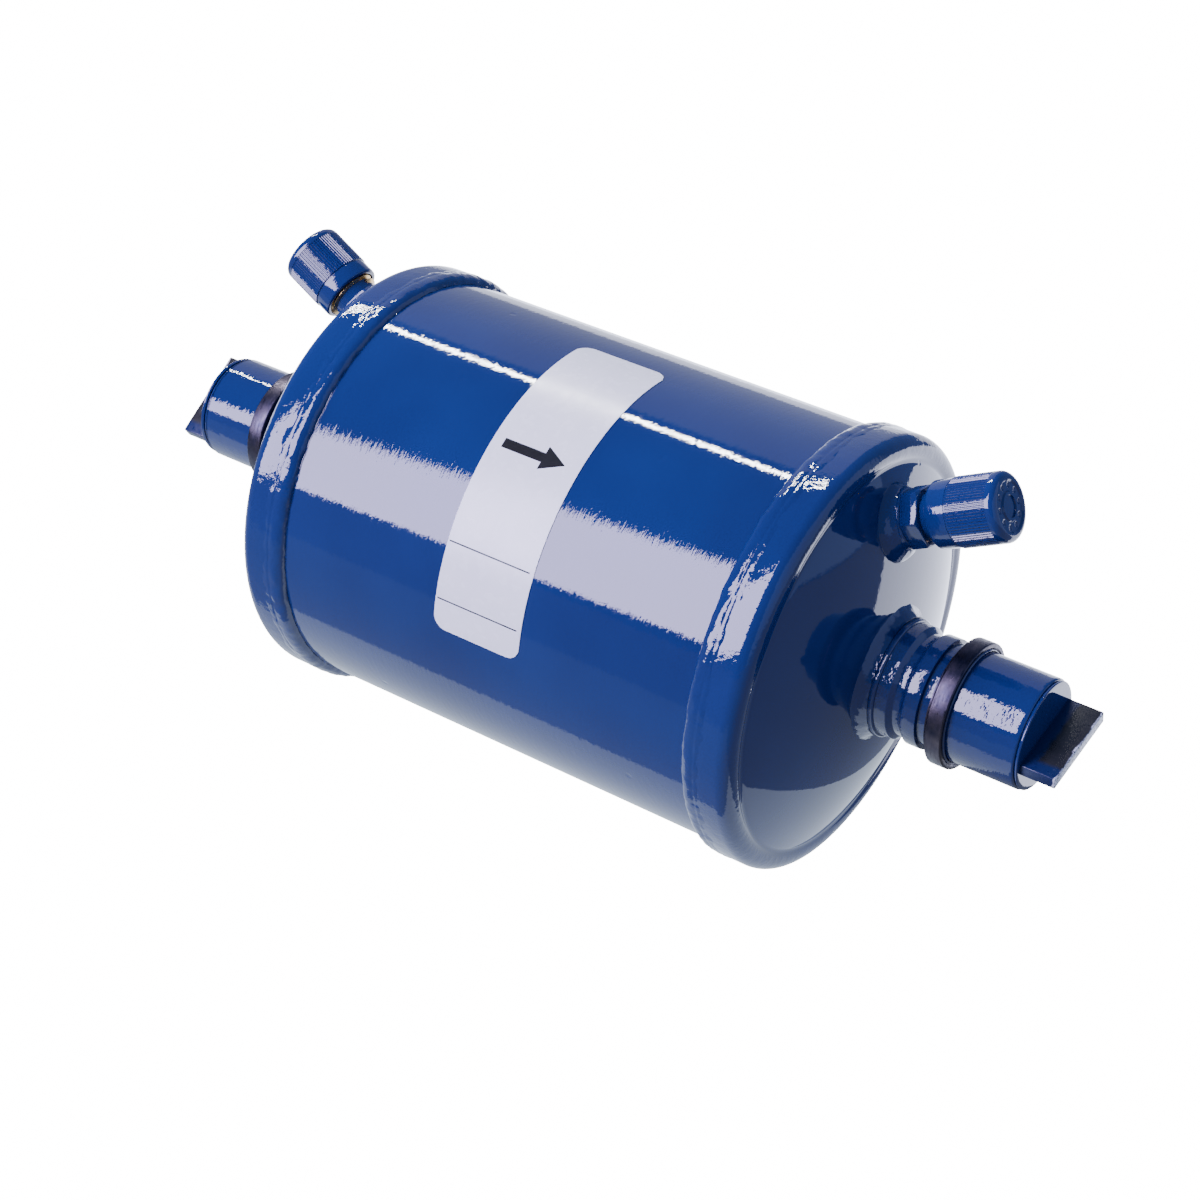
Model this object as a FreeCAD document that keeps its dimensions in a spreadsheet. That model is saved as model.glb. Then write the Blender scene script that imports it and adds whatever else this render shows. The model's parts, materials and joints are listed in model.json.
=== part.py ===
import FreeCAD, Part
import math
import os
import Sketcher
import types

# Suction line filter drier, in millimetres. The drier's axis runs along X with the outlet at +X,
# the two access valves stand up towards +Z, and z = 0 is the lowest line of the end bands.
# Everything at an end is modelled once, in a frame whose origin is the middle of the drier on
# its axis, and is then put on the outlet side as it is or on the inlet side turned half a turn.

os.makedirs("parts", exist_ok=True)
doc = FreeCAD.newDocument("filter_drier")


# Driving dimensions
driving = {
    # clearances
    "seat_gap": 0.05,
    "thread_gap": 0.09,
    "slide_gap": 0.08,
    # shell and drawn heads
    "shell_diameter": 88.9,
    "shell_wall": 1.5,
    "shell_bare_length": 97.8,
    "head_wall": 1.6,
    "skirt_setback": 3.1,
    "skirt_overlap": 2.9,
    "skirt_length": 5.3,
    "knuckle_radius": 3.1,
    "crease_drop": 4.7,
    "crown_radius": 98,
    "seam_length": 6.5,
    "seam_radius": 7,
    # neck with its rings and collar
    "neck_bore": 17.2,
    "neck_shank_diameter": 20.9,
    "neck_shank_length": 3.6,
    "neck_shoulder_diameter": 24.8,
    "neck_shoulder_length": 3.2,
    "neck_step_diameter": 23.6,
    "neck_step_length": 2.6,
    "neck_groove_diameter": 21.2,
    "neck_groove_length": 3.2,
    "neck_ring_diameter": 23,
    "neck_ring_length": 3,
    "neck_chamfer": 0.4,
    "collar_gap": 0.8,
    "collar_diameter": 26.3,
    "collar_length": 5.8,
    "collar_seat_depth": 4.5,
    "neck_fillet": 2.2,
    # solder socket and its shipping plug
    "socket_bore": 19.1,
    "socket_wall": 1.9,
    "socket_length": 19.1,
    "plug_stem_length": 7,
    "plug_wall": 1.2,
    "plug_floor": 1.6,
    "plug_flange_diameter": 22.4,
    "plug_flange_thickness": 0.9,
    "plug_flange_round": 0.4,
    "tab_width": 20.2,
    "tab_thickness": 2.7,
    "tab_length": 7.2,
    "outlet_tab_turn": 23.5,
    "inlet_tab_turn": -46.5,
    # access valve
    "valve_radius": 31.4,
    "valve_tilt": 26,
    "valve_shank_diameter": 10,
    "valve_shank_depth": 3,
    "valve_collar_diameter": 13.2,
    "valve_collar_start": 1,
    "hex_start": 3.3,
    "hex_length": 3.7,
    "hex_width": 11.1,
    "hex_chamfer": 0.8,
    "relief_diameter": 9.4,
    "relief_length": 1.2,
    "nipple_diameter": 11.1,
    "nipple_length": 13.3,
    "flare_length": 1.7,
    "flare_tip_diameter": 7.4,
    "core_bore": 5.3,
    "core_bore_depth": 15.7,
    "valve_port": 3,
    "valve_fillet": 2.2,
    # flare cap
    "cap_diameter": 13.9,
    "cap_start": 10,
    "cap_length": 14.2,
    "cap_floor": 2.2,
    "cap_round": 1.3,
    "cap_band_length": 3.4,
    "cap_band_diameter": 13.5,
    "cap_seal_thickness": 1.6,
    # valve core
    "barrel_start": 5.2,
    "barrel_length": 6.6,
    "barrel_neck_length": 2,
    "barrel_neck_diameter": 3.9,
    "barrel_bore": 2,
    "core_seal_start": 2.6,
    "core_seal_length": 1.2,
    "core_seal_groove": 0.6,
    "pin_diameter": 1.2,
    "pin_rise": 3,
    "pin_head_diameter": 1.7,
    "pin_head_length": 0.5,
    "plunger_diameter": 4,
    "plunger_length": 1,
    "core_spring_diameter": 3.2,
    "core_spring_wire": 0.4,
    "core_spring_turns": 3.5,
    # filter pack inside the shell
    "block_side_gap": 6.45,
    "block_bore": 26,
    "block_setback": 15.9,
    "outlet_felt_thickness": 3,
    "felt_margin": 2,
    "plate_thickness": 1.2,
    "plate_hole": 24,
    "plate_rim": 4,
    "inlet_felt_thickness": 2.4,
    "screen_diameter": 24,
    "screen_wall": 0.5,
    "screen_length": 30,
    "screen_rim": 32,
    "pack_spring_base": 52,
    "pack_spring_tip": 34,
    "pack_spring_wire": 2.4,
    "pack_spring_turns": 2.5,
    # label
    "label_length": 20.8,
    "label_height": 72.7,
    "label_middle": 38.6,
    "label_thickness": 0.12,
    "label_corner": 3,
}

sheet = doc.addObject("Spreadsheet::Sheet", "Sizes")
for row, (alias, number) in enumerate(driving.items(), start=1):
    sheet.set("A%d" % row, alias.replace("_", " "))
    sheet.set("B%d" % row, str(number))
    sheet.setAlias("B%d" % row, alias)
doc.recompute()


class Size:
    """A number together with the expression that ties it to the sheet."""

    def __init__(self, text, value):
        self.text = text
        self.value = float(value)

    def __add__(self, other):
        return Size("(%s + %s)" % (self.text, words(other)), self.value + number_of(other))

    def __sub__(self, other):
        return Size("(%s - %s)" % (self.text, words(other)), self.value - number_of(other))

    def __mul__(self, other):
        return Size("(%s * %s)" % (self.text, words(other)), self.value * number_of(other))

    def __truediv__(self, other):
        return Size("(%s / %s)" % (self.text, words(other)), self.value / number_of(other))

    def squared(self):
        return self * self

    def root(self):
        return Size("sqrt(%s)" % self.text, math.sqrt(self.value))


def words(size):
    return size.text if isinstance(size, Size) else repr(float(size))


def number_of(size):
    return size.value if isinstance(size, Size) else float(size)


def sheet_size(alias):
    return Size("Sizes." + alias, getattr(sheet, alias))


# Every driving dimension by its short name
dim = types.SimpleNamespace(**{alias: sheet_size(alias) for alias in driving})

# Derived places shared by several pieces
places_sheet = doc.addObject("Spreadsheet::Sheet", "Places")
place_row = 0


def place(alias, size):
    """Keep a derived place in the second sheet and return it by its short name."""
    global place_row
    place_row += 1
    places_sheet.set("A%d" % place_row, alias.replace("_", " "))
    places_sheet.set("B%d" % place_row, "=" + size.text)
    places_sheet.setAlias("B%d" % place_row, alias)
    return Size("Places." + alias, size.value)


shell_r = place("shell_r", dim.shell_diameter / 2)
shell_bore_r = place("shell_bore_r", shell_r - dim.shell_wall)
weld_toe_x = place("weld_toe_x", dim.shell_bare_length / 2)
skirt_edge_x = place("skirt_edge_x", weld_toe_x + dim.skirt_setback)
skirt_bore_r = place("skirt_bore_r", shell_r + dim.seat_gap)
skirt_r = place("skirt_r", skirt_bore_r + dim.head_wall)
shell_end_x = place("shell_end_x", skirt_edge_x + dim.skirt_overlap)
knuckle_x = place("knuckle_x", skirt_edge_x + dim.skirt_length)
knuckle_r = place("knuckle_r", skirt_r - dim.knuckle_radius)
crease_r = place("crease_r", skirt_r - dim.crease_drop)
crease_x = place("crease_x", knuckle_x + (dim.knuckle_radius.squared() - (knuckle_r - crease_r).squared()).root())
crown_x = place("crown_x", crease_x - (dim.crown_radius.squared() - crease_r.squared()).root())
inner_crown_radius = place("inner_crown_radius", dim.crown_radius - dim.head_wall)
inner_knuckle_radius = place("inner_knuckle_radius", dim.knuckle_radius - dim.head_wall)


def on_crown(radius, offset=0):
    """X of the crown's outer face, or of a face a little above it, at a radius."""
    crown = dim.crown_radius + offset
    return crown_x + (crown.squared() - radius.squared()).root()


# The seam weld is an arc from the bare shell up on to the skirt, and its crest is the widest part.
seam_start_r = place("seam_start_r", shell_r + dim.seat_gap)
seam_end_r = place("seam_end_r", skirt_r + dim.seat_gap)
seam_rise = seam_end_r - seam_start_r
seam_chord = (dim.seam_length.squared() + seam_rise.squared()).root()
seam_depth = (dim.seam_radius.squared() - (seam_chord / 2).squared()).root()
seam_center_r = (seam_start_r + seam_end_r) / 2 - seam_depth * dim.seam_length / seam_chord
axis_height = place("axis_height", seam_center_r + dim.seam_radius)

neck_hole_r = place("neck_hole_r", dim.neck_shank_diameter / 2 + dim.seat_gap)
neck_seat_x = place("neck_seat_x", on_crown(neck_hole_r))
neck_shoulder_r = place("neck_shoulder_r", dim.neck_shoulder_diameter / 2)
neck_step_x = place("neck_step_x", neck_seat_x + dim.neck_shoulder_length)
neck_groove_x = place("neck_groove_x", neck_step_x + dim.neck_step_length)
neck_ring_x = place("neck_ring_x", neck_groove_x + dim.neck_groove_length)
collar_x = place("collar_x", neck_ring_x + dim.neck_ring_length + dim.collar_gap)
collar_face_x = place("collar_face_x", collar_x + dim.collar_length)
socket_seat_x = place("socket_seat_x", collar_face_x - dim.collar_seat_depth)
socket_x = place("socket_x", socket_seat_x + dim.seat_gap)
socket_bore_r = place("socket_bore_r", dim.socket_bore / 2)
socket_r = place("socket_r", socket_bore_r + dim.socket_wall)
socket_end_x = place("socket_end_x", socket_x + dim.socket_length)

valve_x = place("valve_x", on_crown(dim.valve_radius))
valve_hole_r = place("valve_hole_r", dim.valve_shank_diameter / 2 + dim.seat_gap)
valve_collar_r = place("valve_collar_r", dim.valve_collar_diameter / 2)
hex_end = place("hex_end", dim.hex_start + dim.hex_length)
nipple_end = place("nipple_end", hex_end + dim.nipple_length)
core_ledge = place("core_ledge", nipple_end - dim.core_bore_depth)
cap_end = place("cap_end", dim.cap_start + dim.cap_length)
cap_floor_at = place("cap_floor_at", cap_end - dim.cap_floor)
barrel_at = place("barrel_at", core_ledge + dim.barrel_start)
barrel_end = place("barrel_end", barrel_at + dim.barrel_length)
block_end_x = place("block_end_x", shell_end_x - dim.block_setback)
doc.recompute()


# Sketches
def origin_plane(body, role):
    return [plane for plane in body.Origin.OriginFeatures if plane.Role == role][0]


def arc_between(start, end, radius):
    """A minor arc, centre to the left of the way from start to end for a positive radius."""
    middle = (start + end) / 2
    chord = end - start
    reach = math.sqrt(max(radius * radius - chord.Length * chord.Length / 4, 0))
    left = FreeCAD.Vector(-chord.y, chord.x, 0) / chord.Length
    center = middle + left * math.copysign(reach, radius)
    circle = Part.Circle(center, FreeCAD.Vector(0, 0, 1), abs(radius))
    first, last = (start, end) if radius > 0 else (end, start)
    return Part.ArcOfCircle(circle, circle.parameter(first), circle.parameter(last))


def bind(sketch, kind, geometry, point, size):
    """Hold one coordinate of a point, from the sketch's origin, to an expression."""
    index = sketch.addConstraint(Sketcher.Constraint(kind, -1, 1, geometry, point, size.value))
    sketch.setExpression("Constraints[%d]" % index, size.text)


def profile(body, name, outline, role="XZ_Plane"):
    """Closed sketch through (x, r) corners. A third entry is the radius of the arc that leads
    to that corner, negative where its centre is on the right. None is a corner on the axis."""
    sketch = body.newObject("Sketcher::SketchObject", name)
    sketch.AttachmentSupport = [(origin_plane(body, role), "")]
    sketch.MapMode = "FlatFace"
    corners = [FreeCAD.Vector(number_of(c[0] or 0), number_of(c[1] or 0), 0) for c in outline]
    ends = []
    for index, corner in enumerate(outline):
        start = corners[index - 1]
        end = corners[index]
        if len(corner) == 3:
            sign, radius = corner[2]
            geometry = sketch.addGeometry(arc_between(start, end, sign * radius.value), False)
            bound = sketch.addConstraint(Sketcher.Constraint("Radius", geometry, radius.value))
            sketch.setExpression("Constraints[%d]" % bound, radius.text)
            ends.append((geometry, (1, 2) if sign > 0 else (2, 1)))
        else:
            geometry = sketch.addGeometry(Part.LineSegment(start, end), False)
            ends.append((geometry, (1, 2)))
    for index, corner in enumerate(outline):
        geometry, (first, last) = ends[index]
        following, (following_first, following_last) = ends[(index + 1) % len(ends)]
        sketch.addConstraint(Sketcher.Constraint("Coincident", geometry, last, following, following_first))
        for kind, axis, size in (("DistanceX", -2, corner[0]), ("DistanceY", -1, corner[1])):
            if size is None:
                sketch.addConstraint(Sketcher.Constraint("PointOnObject", geometry, last, axis))
            else:
                bind(sketch, kind, geometry, last, size)
    return sketch


def turning(body, name, outline, kind="PartDesign::Revolution"):
    """Turn a profile about the X axis, as metal or, for a Groove, as a cut."""
    sketch = profile(body, name + "_profile", outline)
    feature = body.newObject(kind, name)
    feature.Profile = sketch
    feature.ReferenceAxis = (sketch, ["H_Axis"])
    feature.Angle = 360
    return feature


def turned_piece(label, outline):
    body = doc.addObject("PartDesign::Body", label)
    turning(body, label + "_turning", outline)
    return body


def left(radius):
    return (1, radius)


def right(radius):
    return (-1, radius)


# Placements
def vector(x=0, y=0, z=0):
    return FreeCAD.Vector(number_of(x), number_of(y), number_of(z))


def end_frame(side):
    half_turn = 0 if side == "outlet" else 180
    return FreeCAD.Placement(vector(z=axis_height), FreeCAD.Rotation(vector(z=1), half_turn))


valve_frame = FreeCAD.Placement(vector(valve_x, 0, dim.valve_radius),
                                FreeCAD.Rotation(vector(y=1), -dim.valve_tilt.value))

# A coil winds about Z, so it is laid over to wind about X.
coil_lay = FreeCAD.Placement(vector(), FreeCAD.Rotation(vector(y=1), 90))

nodes = []


def keep(label, shape_object, frame):
    """Place a finished piece and list it as a node under its own name."""
    shape_object.Label = label
    shape_object.Placement = frame
    nodes.append((label, shape_object))


def raised(x=0):
    return FreeCAD.Placement(vector(x, 0, axis_height), FreeCAD.Rotation())


def cut(name, base, tool):
    result = doc.addObject("Part::Cut", name)
    result.Base = base
    result.Tool = tool
    return result


def helix_spring(label, narrow_diameter, wide_diameter, wire, turns, height):
    """Coil of wire that winds up its own Z axis from its narrow end to its wide end, lofted
    through six-sided sections of the wire, each square to the radius."""
    steps = round(turns * 12)
    start_r = (narrow_diameter.value - wire.value) / 2
    growth = (wide_diameter.value - narrow_diameter.value) / 2
    sections = []
    for step in range(steps + 1):
        share = step / steps
        angle = share * turns * 2 * math.pi
        outward = FreeCAD.Vector(math.cos(angle), math.sin(angle), 0)
        center = outward * (start_r + growth * share) + FreeCAD.Vector(0, 0, height * share)
        corners = []
        for side in range(6):
            around = math.radians(60 * side)
            up = FreeCAD.Vector(0, 0, math.sin(around) * wire.value / 2)
            corners.append(center + outward * (math.cos(around) * wire.value / 2) + up)
        sections.append(Part.makePolygon(corners + corners[:1]))
    spring = doc.addObject("Part::Feature", label)
    spring.Shape = Part.makeLoft(sections, True, True)
    return spring


# Shell
shell_length = shell_end_x * 2
shell_tube = turned_piece("shell_tube", [
    (None, shell_bore_r),
    (None, shell_r),
    (shell_length, shell_r),
    (shell_length, shell_bore_r),
])
keep("shell_tube", shell_tube, raised(-shell_end_x.value))


# Ends
def make_head(side):
    """Drawn head: a skirt over the shell, a knuckle, a crease and a shallow crown."""
    name = side + "_end_cap"
    inner_edge_r = crease_r
    inner_edge_x = crown_x + (inner_crown_radius.squared() - inner_edge_r.squared()).root()
    inner_top_x = crown_x + (inner_crown_radius.squared() - neck_hole_r.squared()).root()
    head = turned_piece(name + "_drawing", [
        (skirt_edge_x, skirt_bore_r),
        (skirt_edge_x, skirt_r),
        (knuckle_x, skirt_r),
        (crease_x, crease_r, right(dim.knuckle_radius)),
        (neck_seat_x, neck_hole_r, right(dim.crown_radius)),
        (inner_top_x, neck_hole_r),
        (inner_edge_x, inner_edge_r, left(inner_crown_radius)),
        (knuckle_x + inner_knuckle_radius, knuckle_r),
        (knuckle_x, skirt_bore_r, left(inner_knuckle_radius)),
    ])
    drill = doc.addObject("Part::Cylinder", name + "_drill")
    drill.setExpression("Radius", valve_hole_r.text)
    drill.setExpression("Height", (dim.valve_shank_depth * 4).text)
    along = FreeCAD.Placement(vector(dim.valve_shank_depth * -2), FreeCAD.Rotation(vector(y=1), 90))
    drill.Placement = valve_frame * along
    keep(name, cut(name, head, drill), end_frame(side))


def make_seam_weld(side):
    name = side + "_seam_weld"
    back_x = skirt_edge_x - dim.seat_gap
    keep(name, turned_piece(name, [
        (weld_toe_x, seam_start_r),
        (weld_toe_x + dim.seam_length, seam_end_r, right(dim.seam_radius)),
        (back_x, seam_end_r),
        (back_x, seam_start_r),
    ]), end_frame(side))


def make_neck(side):
    """Turned neck: shank through the head, stepped rings, a groove and the collar cup."""
    name = side + "_neck"
    bore_r = dim.neck_bore / 2
    step_r = dim.neck_step_diameter / 2
    groove_r = dim.neck_groove_diameter / 2
    ring_r = dim.neck_ring_diameter / 2
    collar_r = dim.collar_diameter / 2
    ring_end_x = neck_ring_x + dim.neck_ring_length
    slope = dim.neck_groove_length / 4
    edge = dim.neck_chamfer
    keep(name, turned_piece(name, [
        (neck_seat_x - dim.neck_shank_length, bore_r),
        (neck_seat_x - dim.neck_shank_length, dim.neck_shank_diameter / 2),
        (neck_seat_x, dim.neck_shank_diameter / 2),
        (neck_seat_x, neck_shoulder_r),
        (neck_step_x - edge, neck_shoulder_r),
        (neck_step_x, neck_shoulder_r - edge),
        (neck_step_x, step_r),
        (neck_groove_x - edge, step_r),
        (neck_groove_x, step_r - edge),
        (neck_groove_x + slope, groove_r),
        (neck_ring_x - slope, groove_r),
        (neck_ring_x, ring_r - edge),
        (neck_ring_x + edge, ring_r),
        (ring_end_x - edge, ring_r),
        (ring_end_x, ring_r - edge),
        (ring_end_x, groove_r),
        (collar_x, groove_r),
        (collar_x, collar_r - edge),
        (collar_x + edge, collar_r),
        (collar_face_x, collar_r),
        (collar_face_x, socket_r + dim.seat_gap),
        (socket_seat_x, socket_r + dim.seat_gap),
        (socket_seat_x, bore_r),
    ]), end_frame(side))


def make_neck_weld(side):
    """Concave fillet of weld metal between the crown and the neck's shoulder."""
    name = side + "_neck_weld"
    inner_r = neck_shoulder_r + dim.seat_gap
    outer_r = inner_r + dim.neck_fillet
    keep(name, turned_piece(name, [
        (on_crown(inner_r, dim.seat_gap), inner_r),
        (neck_seat_x + dim.neck_fillet, inner_r),
        (on_crown(outer_r, dim.seat_gap), outer_r, left(dim.neck_fillet * 1.4)),
    ]), end_frame(side))


def make_socket(side):
    name = side + "_socket"
    keep(name, turned_piece(name, [
        (socket_x, socket_bore_r),
        (socket_x, socket_r),
        (socket_end_x, socket_r),
        (socket_end_x, socket_bore_r),
    ]), end_frame(side))


def make_plug(side):
    """Push-in shipping plug: hollow stem, thin flange over the socket's face and a pull tab."""
    name = side + "_plug"
    stem_r = socket_bore_r - dim.slide_gap
    hollow_r = stem_r - dim.plug_wall
    flange_r = dim.plug_flange_diameter / 2
    flange_x = dim.plug_stem_length + dim.seat_gap
    face_x = flange_x + dim.plug_flange_thickness
    edge = dim.plug_flange_round
    body = turned_piece(name, [
        (None, hollow_r),
        (None, stem_r),
        (flange_x, stem_r),
        (flange_x, flange_r),
        (face_x - edge, flange_r),
        (face_x, flange_r - edge, right(edge)),
        (face_x, None),
        (dim.plug_stem_length - dim.plug_floor, None),
        (dim.plug_stem_length - dim.plug_floor, hollow_r),
    ])
    tab = body.newObject("PartDesign::AdditiveBox", name + "_tab")
    tab.AttachmentSupport = [(origin_plane(body, "YZ_Plane"), "")]
    tab.MapMode = "FlatFace"
    tab.setExpression("Length", dim.tab_width.text)
    tab.setExpression("Width", dim.tab_thickness.text)
    tab.setExpression("Height", (dim.tab_length + dim.plug_flange_thickness).text)
    tab.AttachmentOffset = FreeCAD.Placement(
        vector(dim.tab_width / -2, dim.tab_thickness / -2, flange_x), FreeCAD.Rotation())
    turn = dim.outlet_tab_turn if side == "outlet" else dim.inlet_tab_turn
    seat = FreeCAD.Placement(vector(socket_end_x - dim.plug_stem_length), FreeCAD.Rotation(vector(x=1), turn.value))
    keep(name, body, end_frame(side) * seat)


def make_valve_body(side):
    """Access valve body: shank, round collar, hexagon, threaded nipple with its flare, bored."""
    name = side + "_valve_body"
    shank_r = dim.valve_shank_diameter / 2
    nipple_r = dim.nipple_diameter / 2
    relief_r = dim.relief_diameter / 2
    tip_r = dim.flare_tip_diameter / 2
    port_r = dim.valve_port / 2
    core_r = dim.core_bore / 2
    relief_end = hex_end + dim.relief_length
    sunk = dim.valve_shank_depth
    body = doc.addObject("PartDesign::Body", name)
    turning(body, name + "_turning", [
        (None, None),
        (None, shank_r),
        (sunk + dim.valve_collar_start, shank_r),
        (sunk + dim.valve_collar_start, valve_collar_r),
        (sunk + dim.hex_start, valve_collar_r),
        (sunk + dim.hex_start, relief_r),
        (sunk + relief_end, relief_r),
        (sunk + relief_end + (nipple_r - relief_r), nipple_r),
        (sunk + nipple_end - dim.flare_length, nipple_r),
        (sunk + nipple_end, tip_r),
        (sunk + nipple_end, None),
    ])
    hexagon = body.newObject("PartDesign::AdditivePrism", name + "_hexagon")
    hexagon.AttachmentSupport = [(origin_plane(body, "YZ_Plane"), "")]
    hexagon.MapMode = "FlatFace"
    hexagon.Polygon = 6
    hexagon.setExpression("Circumradius", "%s / 2 / cos(30)" % dim.hex_width.text)
    hexagon.setExpression("Height", dim.hex_length.text)
    hexagon.AttachmentOffset = FreeCAD.Placement(vector(z=sunk + dim.hex_start), FreeCAD.Rotation())
    doc.recompute()
    hex_r = dim.hex_width / 2
    turning(body, name + "_chamfer", [
        (sunk + hex_end, hex_r),
        (sunk + hex_end - dim.hex_chamfer, hex_r + dim.hex_chamfer * 2),
        (sunk + hex_end, hex_r + dim.hex_chamfer * 2),
    ], "PartDesign::Groove")
    turning(body, name + "_bore", [
        (None, None),
        (None, port_r),
        (sunk + core_ledge, port_r),
        (sunk + core_ledge, core_r),
        (sunk + nipple_end, core_r),
        (sunk + nipple_end, None),
    ], "PartDesign::Groove")
    keep(name, body, end_frame(side) * valve_frame * FreeCAD.Placement(vector(sunk * -1), FreeCAD.Rotation()))


def make_valve_braze(side):
    """Braze fillet round the valve's collar, trimmed to the crown that it lies on."""
    name = side + "_valve_braze"
    inner_r = valve_collar_r + dim.seat_gap
    outer_r = inner_r + dim.valve_fillet
    depth = dim.valve_fillet
    ring = turned_piece(name + "_ring", [
        (None, inner_r),
        (depth + dim.hex_start - dim.seat_gap, inner_r),
        (depth * 1.2, outer_r, left(dim.valve_fillet * 1.6)),
        (None, outer_r),
    ])
    ring.Placement = valve_frame * FreeCAD.Placement(vector(depth * -1), FreeCAD.Rotation())
    crown = doc.addObject("Part::Sphere", name + "_crown")
    crown.setExpression("Radius", (dim.crown_radius + dim.seat_gap).text)
    crown.setExpression("Placement.Base.x", crown_x.text)
    keep(name, cut(name, ring, crown), end_frame(side))


def make_cap(side):
    """Flare cap: threaded bore, plain band at the open end, grip barrel and rounded closed end."""
    name = side + "_valve_cap"
    bore_r = dim.nipple_diameter / 2 + dim.thread_gap
    band_r = dim.cap_band_diameter / 2
    grip_r = dim.cap_diameter / 2
    length = dim.cap_length
    edge = dim.cap_round
    body = turned_piece(name, [
        (None, bore_r),
        (None, band_r),
        (dim.cap_band_length, band_r),
        (dim.cap_band_length, grip_r),
        (length - edge, grip_r),
        (length, grip_r - edge, right(edge)),
        (length, None),
        (length - dim.cap_floor, None),
        (length - dim.cap_floor, bore_r),
    ])
    keep(name, body, end_frame(side) * valve_frame * FreeCAD.Placement(vector(dim.cap_start), FreeCAD.Rotation()))


def make_cap_seal(side):
    """Seal washer at the bottom of the cap, resting on the flare when the cap is tight."""
    name = side + "_cap_seal"
    start = cap_floor_at - dim.seat_gap - dim.cap_seal_thickness
    body = turned_piece(name, [
        (None, dim.core_bore / 2),
        (None, dim.nipple_diameter / 2 - dim.seat_gap),
        (dim.cap_seal_thickness, dim.nipple_diameter / 2 - dim.seat_gap),
        (dim.cap_seal_thickness, dim.core_bore / 2),
    ])
    keep(name, body, end_frame(side) * valve_frame * FreeCAD.Placement(vector(start), FreeCAD.Rotation()))


def make_core(side):
    """Valve core: barrel screwed into the nipple, its seal ring, the pin and the return spring."""
    outer_r = dim.core_bore / 2 - dim.seat_gap
    bore_r = dim.barrel_bore / 2
    groove_r = outer_r - dim.core_seal_groove
    neck_r = dim.barrel_neck_diameter / 2
    seal_end = dim.core_seal_start + dim.core_seal_length
    body_end = dim.barrel_length - dim.barrel_neck_length

    def along(start):
        return end_frame(side) * valve_frame * FreeCAD.Placement(vector(start), FreeCAD.Rotation())

    barrel = turned_piece(side + "_core_barrel", [
        (None, bore_r),
        (None, outer_r),
        (dim.core_seal_start, outer_r),
        (dim.core_seal_start, groove_r),
        (seal_end, groove_r),
        (seal_end, outer_r),
        (body_end, outer_r),
        (body_end, neck_r),
        (dim.barrel_length, neck_r),
        (dim.barrel_length, bore_r),
    ])
    keep(side + "_core_barrel", barrel, along(barrel_at))
    seal = turned_piece(side + "_core_seal", [
        (None, groove_r + dim.seat_gap / 2),
        (None, outer_r),
        (dim.core_seal_length - dim.seat_gap, outer_r),
        (dim.core_seal_length - dim.seat_gap, groove_r + dim.seat_gap / 2),
    ])
    keep(side + "_core_seal", seal, along(barrel_at + dim.core_seal_start + dim.seat_gap / 2))
    pin_r = dim.pin_diameter / 2
    head_r = dim.pin_head_diameter / 2
    plunger_end = dim.plunger_length
    tip = plunger_end + dim.seat_gap + dim.barrel_length + dim.pin_rise
    pin = turned_piece(side + "_core_pin", [
        (None, None),
        (None, dim.plunger_diameter / 2),
        (plunger_end, dim.plunger_diameter / 2),
        (plunger_end, pin_r),
        (tip - dim.pin_head_length, pin_r),
        (tip - dim.pin_head_length, head_r),
        (tip, head_r),
        (tip, None),
    ])
    pin_at = barrel_at - dim.seat_gap - dim.plunger_length
    keep(side + "_core_pin", pin, along(pin_at))
    wire = dim.core_spring_wire
    reach = pin_at.value - core_ledge.value - wire.value * 1.3
    spring = helix_spring(side + "_core_spring", dim.core_spring_diameter, dim.core_spring_diameter, wire,
                          dim.core_spring_turns.value, reach)
    keep(side + "_core_spring", spring, along(core_ledge + wire * 0.65) * coil_lay)


for side in ("outlet", "inlet"):
    make_head(side)
    make_seam_weld(side)
    make_neck(side)
    make_neck_weld(side)
    make_socket(side)
    make_plug(side)
    make_valve_body(side)
    make_valve_braze(side)
    make_cap(side)
    make_cap_seal(side)
    make_core(side)


# Filter pack
block_r = shell_bore_r - dim.block_side_gap
block_bore_r = dim.block_bore / 2
block_length = block_end_x * 2
keep("desiccant_core", turned_piece("desiccant_core", [
    (None, block_bore_r),
    (None, block_r),
    (block_length, block_r),
    (block_length, block_bore_r),
]), raised(-block_end_x.value))

felt_r = block_r - dim.felt_margin
outlet_felt_x = block_end_x + dim.seat_gap
keep("outlet_felt", turned_piece("outlet_felt", [
    (None, dim.screen_rim / 2 + dim.seat_gap),
    (None, felt_r),
    (dim.outlet_felt_thickness, felt_r),
    (dim.outlet_felt_thickness, dim.screen_rim / 2 + dim.seat_gap),
]), raised(outlet_felt_x))

# The outlet plate is a dished disc: its rim turns along the shell's bore.
plate = dim.plate_thickness
plate_r = shell_bore_r - dim.seat_gap
outlet_plate_x = outlet_felt_x + dim.outlet_felt_thickness + dim.seat_gap
keep("outlet_plate", turned_piece("outlet_plate", [
    (None, dim.plate_hole / 2),
    (None, plate_r - dim.plate_rim / 2),
    (dim.plate_rim / 2, plate_r, right(dim.plate_rim / 2)),
    (dim.plate_rim + plate, plate_r),
    (dim.plate_rim + plate, plate_r - plate),
    (dim.plate_rim / 2, plate_r - plate),
    (plate, plate_r - dim.plate_rim / 2, left(dim.plate_rim / 2)),
    (plate, dim.plate_hole / 2),
]), raised(outlet_plate_x))

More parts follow.
